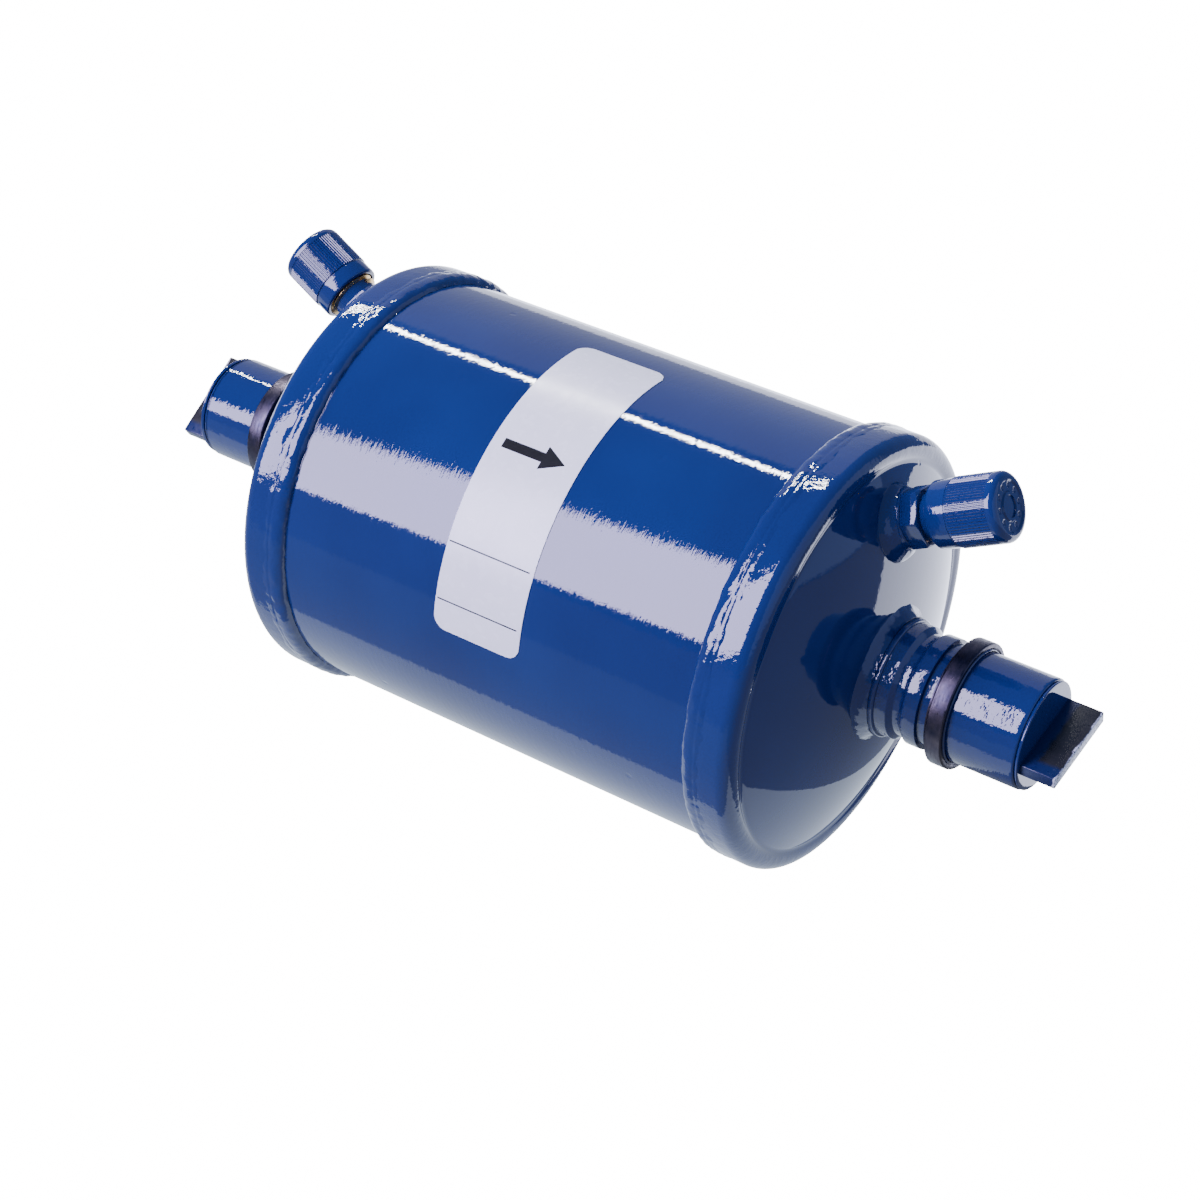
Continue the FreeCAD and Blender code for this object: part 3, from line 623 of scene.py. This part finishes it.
def makeCollarBead():  # braze that fills the cup round the socket
    outline = [(collarEnd + x, socketR + rise) for x, rise in collarBead["outline"]]
    piece = turned("outlet_collar_bead", outline, neck["sides"])
    applyModifier(piece, "SUBSURF", levels=1, render_levels=1)
    place(piece)
    lumps(piece, collarBead["lump"], collarBead["depth"])
    smooth(piece, 80)
    return piece


def makeSocket(edge):
    bore = socketR - neck["socketWall"]
    rows = neck["socketRows"]
    outline = [(socketStart, bore), (socketStart, socketR)]
    outline += [(socketStart + (socketEnd - socketStart - 1) * row / rows, socketR)
                for row in range(1, rows + 1)]
    outline += arc(socketEnd - edge, socketR - edge, edge, 90, 0, 5)
    outline += [(socketEnd, bore)]
    piece = turned("outlet_solder_socket", outline, neck["sides"])
    place(piece)
    smooth(piece, 40)
    return piece


neckFillet = {"rows": 12, "hollow": 1.8, "gap": 0.02, "skin": 0.03, "lump": 3.0, "depth": 0.25}


def makeNeckFillet():  # concave weld between the crown and the neck
    high, outer = boxAlong("outlet_neck_weld")[1:]
    inner = neck["shoulderR"] + neckFillet["gap"]
    reach = outer - inner
    rise = high - neckSeat
    skin, rows = neckFillet["skin"], neckFillet["rows"]
    outline = [(neckSeat - 1.4, inner), (neckSeat + rise, inner)]
    for row in range(1, rows + 1):
        share = row / rows
        drop = (1 - share) ** neckFillet["hollow"]
        radius = inner + reach * share
        outline.append((crownX(radius, head["crown"]) + skin + (rise - skin) * drop, radius))
    outline.append((neckSeat - 1.9, outer))
    piece = turned("outlet_neck_fillet", outline, neck["sides"])
    place(piece)
    lumps(piece, neckFillet["lump"], neckFillet["depth"])
    smooth(piece, 60)
    return piece


neckPieces = [
    (makeNeck(), "blue_enamel", [neckEnamel], "neck"),
    (makeCollar(), "steel", [collarMetal], None),
    (makeCollarBead(), "blue_enamel", [neckEnamel], None),
    (makeNeckFillet(), "blue_enamel", [weldEnamel], "neck_weld"),
]
for piece, slotName, materials, node in neckPieces:
    for side, each in (("outlet", piece), ("inlet", otherEnd(piece))):
        finishPiece(each, "housing", materials, [side + "_" + node] if node else ())
for side, edge in neck["socketRound"].items():
    socket = makeSocket(edge)
    if side == "inlet":
        place(socket, (0, 0, 0), (0, 0, math.pi))
        nameIt(socket, "inlet_solder_socket")
    finishPiece(socket, "housing", [socketEnamel], [side + "_socket"])
print("necks done")

# Shipping plugs
plug = {
    "sides": 200,
    "flangeR": 11.2,
    "flangeGap": 0.05,
    "flangeThickness": 0.7,
    "flangeRound": 0.25,
    "stemR": 9.47,
    "stemLength": 7.0,
    "stemWall": 1.2,
    "floor": 1.6,
    "tabWidth": 20.2,
    "tabThickness": 2.7,
    "tabEdge": 0.28,
    "tabInset": 0.3,
    "turn": {"outlet": 23.5, "inlet": -46.5},
}


def makePlug(side):
    flangeX = socketEnd + plug["flangeGap"]
    faceX = flangeX + plug["flangeThickness"]
    floorX = flangeX - plug["floor"]
    edge = plug["flangeRound"]
    hollow = plug["stemR"] - plug["stemWall"]
    stemX = flangeX - plug["stemLength"]
    outline = [(floorX, 0), (floorX, hollow), (stemX, hollow), (stemX, plug["stemR"])]
    outline += [(flangeX, plug["stemR"]), (flangeX, plug["flangeR"] - edge)]
    outline += arc(faceX - edge, plug["flangeR"] - edge, edge, 90, 0, 5)
    outline += [(faceX, plug["flangeR"] * share) for share in (0.9, 0.6, 0.3, 0)]
    piece = turned(side + "_plug_flange", outline, plug["sides"], closed=False)
    place(piece, (0, 0, 0))
    smooth(piece, 40)
    tipX = boxAlong("outlet_plug")[1]
    tabLength = tipX - flangeX - plug["tabInset"]
    deselectAll()
    bpy.ops.mesh.primitive_cube_add(size=1, location=((tipX - tabLength / 2) * mm, 0, 0))
    tab = bpy.context.object
    nameIt(tab, side + "_plug_tab")
    tab.scale = (tabLength * mm, plug["tabWidth"] * mm, plug["tabThickness"] * mm)
    bpy.ops.object.transform_apply(location=True, rotation=True, scale=True)
    softEdges(tab, plug["tabEdge"], 3, 30)
    turn = plug["turn"][side]
    for each in (piece, tab):
        place(each, (0, 0, 0), (math.radians(turn), 0, 0))
        place(each, onAxis, (0, 0, 0 if side == "outlet" else math.pi))
    smooth(tab, 40)
    end = 1 if side == "outlet" else -1
    tabMould = makeTabMould(side + "TabMould", end * faceX * mm, end * tipX * mm, end * turn)
    finishPiece(piece, side + "_plug", [flangeEnamel], [side + "_plug"])
    finishPiece(tab, side + "_plug", [tabMould])


for side in ("outlet", "inlet"):
    makePlug(side)
print("plugs done")

# Access valves
valve = {
    "sides": 160,
    "jointAt": 17,
    "footStart": -2,
    "footR": 5.0,
    "collarR": 6.0,
    "collarStart": 0.4,
    "collarEdge": 0.3,
    "collarRound": 0.45,
    "hexStart": 3.3,
    "hexEnd": 7.0,
    "hexWidth": 11.1,
    "hexChamfer": 0.75,
    "hexEdge": 0.12,
    "hexChamferEdge": 0.07,
    "reliefR": 4.7,
    "nippleR": 5.55,
    "nippleStart": 8.2,
    "nippleEdge": 0.12,
    "flareStart": 18.6,
    "flareEnd": 20.3,
    "flareRim": 0.5,
    "flareTipR": 3.7,
    "boreR": 2.65,
    "boreDepth": 15.7,
    "pitch": 1.27,
    "threadDepth": 0.7,
}
capJoint = [joint for joint in frame["joints"] if joint["name"] == "outlet_cap_turn"][0]
valveAxis = Vector(capJoint["axis"]).normalized()
valveAt = Vector(capJoint["pos_m"]) - valveAxis * valve["jointAt"] * mm
valveTurn = (0, -math.atan2(valveAxis.z, valveAxis.x), 0)


def makeValveStem():
    low = valve["flareEnd"] - valve["boreDepth"]
    coreR = valve["nippleR"] - valve["threadDepth"]
    rimR = valve["nippleR"] - 0.1
    rimStart = valve["flareStart"] - valve["flareRim"]
    bend = valve["collarRound"]
    outline = [(valve["footStart"], 0), (valve["footStart"], valve["footR"])]
    outline += [(valve["collarStart"], valve["footR"])]
    outline += [(valve["collarStart"], valve["collarR"] - valve["collarEdge"])]
    outline += arc(valve["hexStart"] - bend, valve["collarR"] - bend, bend, 90, 0, 4)
    outline += [(valve["hexStart"], valve["reliefR"]), (valve["nippleStart"] - 0.3, valve["reliefR"])]
    outline += [(valve["nippleStart"], coreR), (rimStart, coreR)]
    outline += [(rimStart, rimR), (valve["flareStart"], rimR)]
    outline += [(valve["flareEnd"], valve["flareTipR"]), (valve["flareEnd"], valve["boreR"])]
    outline += [(low, valve["boreR"]), (low, 0)]
    piece = turned("outlet_valve_stem", outline, valve["sides"], closed=False)
    softEdges(piece, valve["nippleEdge"], 2, 30)
    smooth(piece, 40)
    return piece


thread = {"half": 0.44, "flank": 0.82, "crest": 0.36, "rootSink": 0.05, "stopShort": 0.6, "stepsPerTurn": 48}


def makeThread():  # one ridge of the 7/16-20 thread, screwed round the nipple
    pitch = valve["pitch"]
    turns = (valve["flareStart"] - thread["stopShort"] - valve["nippleStart"] - pitch) / pitch
    rootR = valve["nippleR"] - valve["threadDepth"] - thread["rootSink"]
    half = pitch * thread["half"]
    start = valve["nippleStart"] + half
    top = valve["nippleR"] - rootR
    flank = half * thread["flank"]
    ridge = [(flank, 0, top), (half * thread["crest"], 0, 0), (flank, 0, -top), (-half * 2, 0, 0)]
    piece = drawSteps("outlet_thread", (start - half, 0, rootR), ridge)
    bpy.ops.object.mode_set(mode="OBJECT")
    steps = round(turns * thread["stepsPerTurn"])
    applyModifier(piece, "SCREW", axis="X", angle=math.tau * turns, screw_offset=pitch * mm * turns,
                  steps=steps, render_steps=steps, use_merge_vertices=False)
    bpy.ops.object.mode_set(mode="EDIT")
    bpy.ops.mesh.select_all(action="DESELECT")
    bpy.ops.mesh.select_mode(type="VERT")
    bpy.ops.mesh.select_non_manifold(extend=False)
    bpy.ops.mesh.edge_face_add()
    bpy.ops.mesh.select_all(action="SELECT")
    bpy.ops.mesh.normals_make_consistent(inside=False)
    bpy.ops.object.mode_set(mode="OBJECT")
    smooth(piece, 40)
    return piece


barrelCut = {"past": 0.1, "rimOver": 0.4, "lowChamfer": 0.6, "lowDrop": 0.35, "highDrop": 0.95, "sides": 96}


def makeHexagon():  # six-sided bar cut to rounded chamfers by a turned barrel
    length = valve["hexEnd"] - valve["hexStart"]
    middle = (valve["hexEnd"] + valve["hexStart"]) / 2
    corner = valve["hexWidth"] / 2 / math.cos(math.pi / 6)
    deselectAll()
    bpy.ops.mesh.primitive_cylinder_add(vertices=6, radius=corner * mm, depth=length * mm,
                                        location=(middle * mm, 0, 0), rotation=(0, math.pi / 2, 0))
    piece = bpy.context.object
    nameIt(piece, "outlet_hexagon")
    bpy.ops.object.transform_apply(location=True, rotation=True, scale=True)
    softEdges(piece, valve["hexEdge"], 2, 30)
    chamfer = valve["hexChamfer"]
    rim = corner + barrelCut["rimOver"]
    low = valve["hexStart"] - barrelCut["past"]
    high = valve["hexEnd"] + barrelCut["past"]
    outline = [(low, 0), (low, corner - barrelCut["lowDrop"])]
    outline += [(valve["hexStart"] + chamfer * barrelCut["lowChamfer"], rim)]
    outline += [(valve["hexEnd"] - chamfer, rim)]
    outline += [(high, corner - barrelCut["highDrop"]), (high, 0)]
    barrel = turned("barrel", outline, barrelCut["sides"], closed=False)
    applyModifier(piece, "BOOLEAN", operation="INTERSECT", object=barrel)
    bpy.data.objects.remove(barrel)
    softEdges(piece, valve["hexChamferEdge"], 2, 20)
    smooth(piece, 30)
    return piece


braze = {"low": -2.6, "high": 2.9, "reach": 2.4, "rows": 14, "gap": 0.02, "lump": 2.4, "depth": 0.25}


def makeBraze():  # concave fillet between the crown and the valve's collar
    inner = valve["collarR"] + braze["gap"]
    low, high, reach = braze["low"], braze["high"], braze["reach"]
    outline = [(low, inner - 1), (high, inner - 1), (high, inner)]
    for row in range(1, braze["rows"] + 1):
        share = row / braze["rows"]
        outline.append((high - 2.5 * share ** 0.55 - 1.2 * share ** 3, inner + reach * share))
    outline.append((low, inner + reach))
    piece = turned("outlet_braze_bead", outline, valve["sides"])
    lumps(piece, braze["lump"], braze["depth"])
    smooth(piece, 60)
    return piece


# Valve caps
cap = {
    "sides": 288,
    "start": {"outlet": 9.1, "inlet": 10.0},
    "end": 24.2,
    "boreR": 5.64,
    "boreChamfer": (0.5, 0.25),
    "lip": 0.5,
    "bandR": 6.75,
    "bandEnd": 13.4,
    "grooveDepth": 0.12,
    "gripR": 6.95,
    "gripFrom": 13.75,
    "gripTo": 22.1,
    "gripRows": 10,
    "ribPeriod": 4,
    "ribDepth": 0.2,
    "endRound": 1.5,
    "floor": 2.2,
    "faceR": 4.9,
    "faceDepth": 0.35,
    "faceRows": 14,
    "ringR": 2.5,
    "ringWidth": 0.75,
    "ringRise": 0.3,
    "dimples": 10,
    "dimpleAtR": 4.05,
    "dimpleR": 0.62,
    "dimpleDepth": 0.3,
}


def ribAndDimple(piece):  # sinks every other pair of columns and presses dimples round the face
    step = math.tau / cap["sides"]
    face = cap["end"] - cap["faceDepth"]
    atR = cap["dimpleAtR"]
    for vertex in piece.data.vertices:
        x, y, z = vertex.co / mm
        radius = math.hypot(y, z)
        angle = math.atan2(z, y) % math.tau
        column = round(angle / step) % cap["ribPeriod"]
        inGrip = cap["gripFrom"] - 0.01 < x < cap["gripTo"] + 0.01
        if inGrip and radius > cap["gripR"] - 0.01 and column in (2, 3):
            vertex.co.y *= (radius - cap["ribDepth"]) / radius
            vertex.co.z *= (radius - cap["ribDepth"]) / radius
        if abs(x - face) < 0.02 and radius > cap["ringR"] + cap["ringWidth"] / 2:
            nearest = round(angle / math.tau * cap["dimples"]) * math.tau / cap["dimples"]
            away = math.hypot(y - atR * math.cos(nearest), z - atR * math.sin(nearest))
            sink = cap["dimpleDepth"] * max(0, 1 - (away / cap["dimpleR"]) ** 2)
            vertex.co.x -= sink * mm


def makeCap(side):  # one outline from the floor's middle through the bore, outside and face
    start, end, grip, bore = cap["start"][side], cap["end"], cap["gripR"], cap["boreR"]
    band, face, lip = cap["bandR"], cap["faceR"], cap["lip"]
    gripFrom, gripTo, bandEnd = cap["gripFrom"], cap["gripTo"], cap["bandEnd"]
    floorX = end - cap["floor"]
    faceX = end - cap["faceDepth"]
    grooveR = band - cap["grooveDepth"]
    chamferX, chamferR = cap["boreChamfer"]
    ringTop = faceX + cap["ringRise"]
    ringOut = cap["ringR"] + cap["ringWidth"] / 2
    ringIn = cap["ringR"] - cap["ringWidth"] / 2
    gripRows, faceRows = cap["gripRows"], cap["faceRows"]
    outline = [(floorX, 0), (floorX, bore), (start + chamferX, bore), (start, bore + chamferR)]
    outline += arc(start + lip, band - lip, lip, 180, 90, 5)
    outline += [(bandEnd - 0.1, band), (bandEnd, grooveR), (gripFrom - 0.15, grooveR)]
    outline += [(gripFrom + (gripTo - gripFrom) * row / gripRows, grip) for row in range(gripRows + 1)]
    outline += [(gripTo + 0.12, grip)]
    outline += arc(end - cap["endRound"], grip - cap["endRound"], cap["endRound"], 90, 0, 12)
    outline += [(end, face + 0.25), (faceX, face - 0.1)]
    outline += [(faceX, face - 0.1 - (face - 0.25 - ringOut) * row / faceRows)
                for row in range(1, faceRows + 1)]
    outline += [(ringTop, ringOut - 0.1), (ringTop, ringIn + 0.1)]
    outline += [(faceX, ringIn), (faceX, 1.0), (faceX, 0)]
    piece = turned(side + "_ribbed_cap", outline, cap["sides"], closed=False)
    ribAndDimple(piece)
    smooth(piece, 38)
    place(piece, valveAt, valveTurn)
    if side == "inlet":
        place(piece, (0, 0, 0), (0, 0, math.pi))
    finishPiece(piece, side + "_cap", [capEnamel], [side + "_valve_cap"])


valvePieces = [
    (makeValveStem(), "blue_enamel", [hexEnamel], "valve_body"),
    (makeThread(), "brass", [brassMetal], None),
    (makeHexagon(), "blue_enamel", [hexEnamel], None),
    (makeBraze(), "blue_enamel", [weldEnamel], "valve_braze"),
]
for piece, slotName, materials, node in valvePieces:
    place(piece, valveAt, valveTurn)
    for side, each in (("outlet", piece), ("inlet", otherEnd(piece))):
        finishPiece(each, "housing", materials, [side + "_" + node] if node else ())
for side in ("outlet", "inlet"):
    makeCap(side)
print("valves done")

# Label with an arrow and two rules
label = {
    "length": 20.8,
    "height": 72.7,
    "corner": 3.0,
    "middle": 38.6,
    "lift": 0.05,
    "thickness": 0.11,
    "strip": 1.2,
    "inkThickness": 0.015,
    "rules": (15.7, 0.2),
    "ruleReach": (-10.0, 9.4),
    "ruleWidth": 0.28,
    "arrowAt": 44.0,
    "arrowTail": -7.8,
    "arrowTip": 7.0,
    "arrowShaft": 2.1,
    "arrowHead": 5.3,
    "arrowHeadLength": 5.2,
}


def wrapOnShell(piece, radius, thickness, middle):  # cuts a flat piece in strips and lays it on the shell
    pick(piece)
    bpy.ops.object.mode_set(mode="EDIT")
    reach = max(abs(vertex.co.y) for vertex in piece.data.vertices) / mm
    cut = -reach + label["strip"]
    while cut < reach:
        bpy.ops.mesh.select_all(action="SELECT")
        bpy.ops.mesh.bisect(plane_co=(0, cut * mm, 0), plane_no=(0, 1, 0))
        cut += label["strip"]
    bpy.ops.object.mode_set(mode="OBJECT")
    for vertex in piece.data.vertices:
        angle = math.radians(middle) + vertex.co.y / mm / radius
        vertex.co.z = axisZ + radius * math.sin(angle) * mm
        vertex.co.y = -radius * math.cos(angle) * mm
    applyModifier(piece, "SOLIDIFY", thickness=thickness * mm, offset=1)
    smooth(piece, 30)


def flatOutline(name, points):  # flat face through (x, y) points, turned to face up
    steps = [(there[0] - here[0], there[1] - here[1], 0)
             for here, there in zip(points, points[1:] + points[:1])]
    piece = drawSteps(name, (*points[0], 0), steps)
    bpy.ops.mesh.edge_face_add()
    bpy.ops.mesh.normals_make_consistent(inside=False)
    bpy.ops.object.mode_set(mode="OBJECT")
    if piece.data.polygons[0].normal.z < 0:
        bpy.ops.object.mode_set(mode="EDIT")
        bpy.ops.mesh.flip_normals()
        bpy.ops.object.mode_set(mode="OBJECT")
    return piece


def makeLabel():
    halfX = label["length"] / 2 - label["corner"]
    halfY = label["height"] / 2 - label["corner"]
    corners = ((halfX, halfY, 0), (-halfX, halfY, 90), (-halfX, -halfY, 180), (halfX, -halfY, 270))
    points = []
    for middleX, middleY, start in corners:
        points += arc(middleX, middleY, label["corner"], start, start + 90, 8)
    film = flatOutline("label_film", points)
    wrapOnShell(film, shellR + label["lift"], label["thickness"], label["middle"])
    finishPiece(film, "housing", [whiteFilm], ["label"])
    inkR = shellR + label["lift"] + label["thickness"]
    tail, tip = label["arrowTail"], label["arrowTip"]
    shaft, barb = label["arrowShaft"] / 2, label["arrowHead"] / 2
    neckX = tip - label["arrowHeadLength"]
    low, high = label["ruleReach"]
    half = label["ruleWidth"] / 2
    prints = [("label_arrow", label["arrowAt"], [(tail, -shaft), (neckX, -shaft), (neckX, -barb), (tip, 0),
                                                 (neckX, barb), (neckX, shaft), (tail, shaft)])]
    for number, angle in enumerate(label["rules"]):
        rule = [(low, -half), (high, -half), (high, half), (low, half)]
        prints.append(("label_rule_%d" % (number + 1), angle, rule))
    for name, angle, outline in prints:
        ink = flatOutline(name, outline)
        wrapOnShell(ink, inkR, label["inkThickness"], angle)
        finishPiece(ink, "housing", [printInk])


makeLabel()
print("label done")

# Inside parts keep their CAD shape and get their finish
insideFinish = {
    "desiccant_core": desiccantStone,
    "outlet_felt": feltWool,
    "inlet_felt": feltWool,
    "outlet_plate": steelMetal,
    "inlet_plate": steelMetal,
    "outlet_screen": steelMetal,
    "pack_spring": springMetal,
}
for side in ("outlet", "inlet"):
    insideFinish[side + "_core_barrel"] = brassMetal
    insideFinish[side + "_core_pin"] = brassMetal
    insideFinish[side + "_core_spring"] = springMetal
    insideFinish[side + "_core_seal"] = sealRubber
    insideFinish[side + "_cap_seal"] = sealRubber
for node, material in insideFinish.items():
    mesh = frame["nodes"][node].data
    mesh.materials.clear()
    mesh.materials.append(material)
print("inside parts done")

# Studio
studio = {
    "camera": (0.25592, -0.43487, 0.21808),
    "right": (0.81947, 0.55465, 0.14435),
    "up": (-0.33424, 0.25790, 0.90651),
    "lens": 78.92,
    "sensor": 36,
    "shiftX": -0.00348,
    "shiftY": -0.03628,
    "tableSize": 14,
    "tableGlow": 16.0,
    "roomLight": 0.5,
    "roomColor": (0.35, 0.5, 1),
    "backdrop": 17.0,
    "cards": {
        "frontSoftbox": (((-830, -762, -133), (-190, -1045, 187), (-700, -702, 242), (-250, -700, 1014)),
                         20.0, (0.72, 0.66, 1.0)),
        "topStrip": (((-762, 142, 706), (-325, 202, 943), (-760, 166, 700), (-323, 237, 936)),
                     130.0, (1, 1, 1)),
        "backWall": (((-1130, 820, 150), (-190, 1340, 220), (-1250, 300, 860), (-250, 520, 1440)),
                     0.9, (0.70, 0.74, 1.0)),
        "wallFoot": (((-1130, 820, -44), (200, 1400, -44), (-1130, 820, 150), (200, 1400, 220)),
                     2.6, (0.80, 0.83, 1.0)),
        "tableBehind": (((-2500, 60, -44.5), (150, 60, -44.5), (-2500, 3000, -44.5), (2300, 3000, -44.5)),
                        4.2, (0.78, 0.82, 1.0)),
        "tableNear": (((-190, -45, -44.5), (100, -45, -44.5), (-190, 60, -44.5), (60, 60, -44.5)),
                      1.5, (0.75, 0.85, 1.0)),
        "tableFront": (((-190, -120, -44.5), (100, -120, -44.5), (-190, -45, -44.5), (100, -45, -44.5)),
                       0.6, (0.7, 0.8, 1.0)),
        "tableFar": (((-2500, -2500, -45.2), (2500, -2500, -45.2), (-2500, 3000, -45.2), (2500, 3000, -45.2)),
                     0.4, (0.75, 0.83, 1.0)),
        "sideWall": (((1400, -1200, 0), (1400, -1200, 1500), (1400, 1800, 0), (1400, 1800, 1500)),
                     1.0, (0.45, 0.58, 1.0)),
    },
}


def makeCamera():
    bpy.ops.object.camera_add(location=onAxis + Vector(studio["camera"]))
    camera = bpy.context.object
    right = Vector(studio["right"])
    up = Vector(studio["up"])
    away = right.cross(up)
    camera.rotation_euler = Matrix((right, up, away)).transposed().to_euler()
    camera.data.lens = studio["lens"]
    camera.data.sensor_width = studio["sensor"]
    camera.data.shift_x = studio["shiftX"]
    camera.data.shift_y = studio["shiftY"]
    camera.data.clip_end = 20
    bpy.context.scene.camera = camera


def makeFloor():  # white glowing table for the camera, reflections see the table cards instead
    deselectAll()
    bpy.ops.mesh.primitive_plane_add(size=studio["tableSize"], location=(0, 0, 0))
    floor = bpy.context.object
    nameIt(floor, "floor")
    floor.data.materials.append(newMaterial("tableWhite", {
        "Base Color": (0.9, 0.9, 0.9, 1),
        "Roughness": 0.9,
        "Emission Color": (1, 1, 1, 1),
        "Emission Strength": studio["tableGlow"],
    }))
    floor.visible_glossy = False
    floor.visible_diffuse = False


def makeCard(name, corners, glow, color):  # glowing card unseen by the camera, corners in mm from the middle
    deselectAll()
    bpy.ops.mesh.primitive_plane_add(size=1)
    card = bpy.context.object
    nameIt(card, name)
    for vertex, corner in zip(card.data.vertices, corners):
        vertex.co = onAxis + Vector(corner) * mm
    card.data.materials.append(newMaterial(name, {
        "Base Color": (0, 0, 0, 1),
        "Specular IOR Level": 0.0,
        "Emission Color": (*color, 1),
        "Emission Strength": glow,
    }))
    card.visible_camera = False


def makeRoom():  # white for the camera, dim blue light for all else
    world = bpy.data.worlds.new("studioRoom")
    bpy.context.scene.world = world
    world.use_nodes = True
    tree = world.node_tree
    room = tree.nodes["Background"]
    room.inputs["Color"].default_value = (*studio["roomColor"], 1)
    room.inputs["Strength"].default_value = studio["roomLight"]
    backdrop = tree.nodes.new("ShaderNodeBackground")
    backdrop.inputs["Strength"].default_value = studio["backdrop"]
    ray = tree.nodes.new("ShaderNodeLightPath")
    mix = tree.nodes.new("ShaderNodeMixShader")
    tree.links.new(ray.outputs["Is Camera Ray"], mix.inputs["Fac"])
    tree.links.new(room.outputs["Background"], mix.inputs[1])
    tree.links.new(backdrop.outputs["Background"], mix.inputs[2])
    tree.links.new(mix.outputs["Shader"], tree.nodes["World Output"].inputs["Surface"])


def makeLights():
    for name, (corners, glow, color) in studio["cards"].items():
        makeCard(name, corners, glow, color)


makeCamera()
makeFloor()
makeRoom()
makeLights()
print("studio ready")
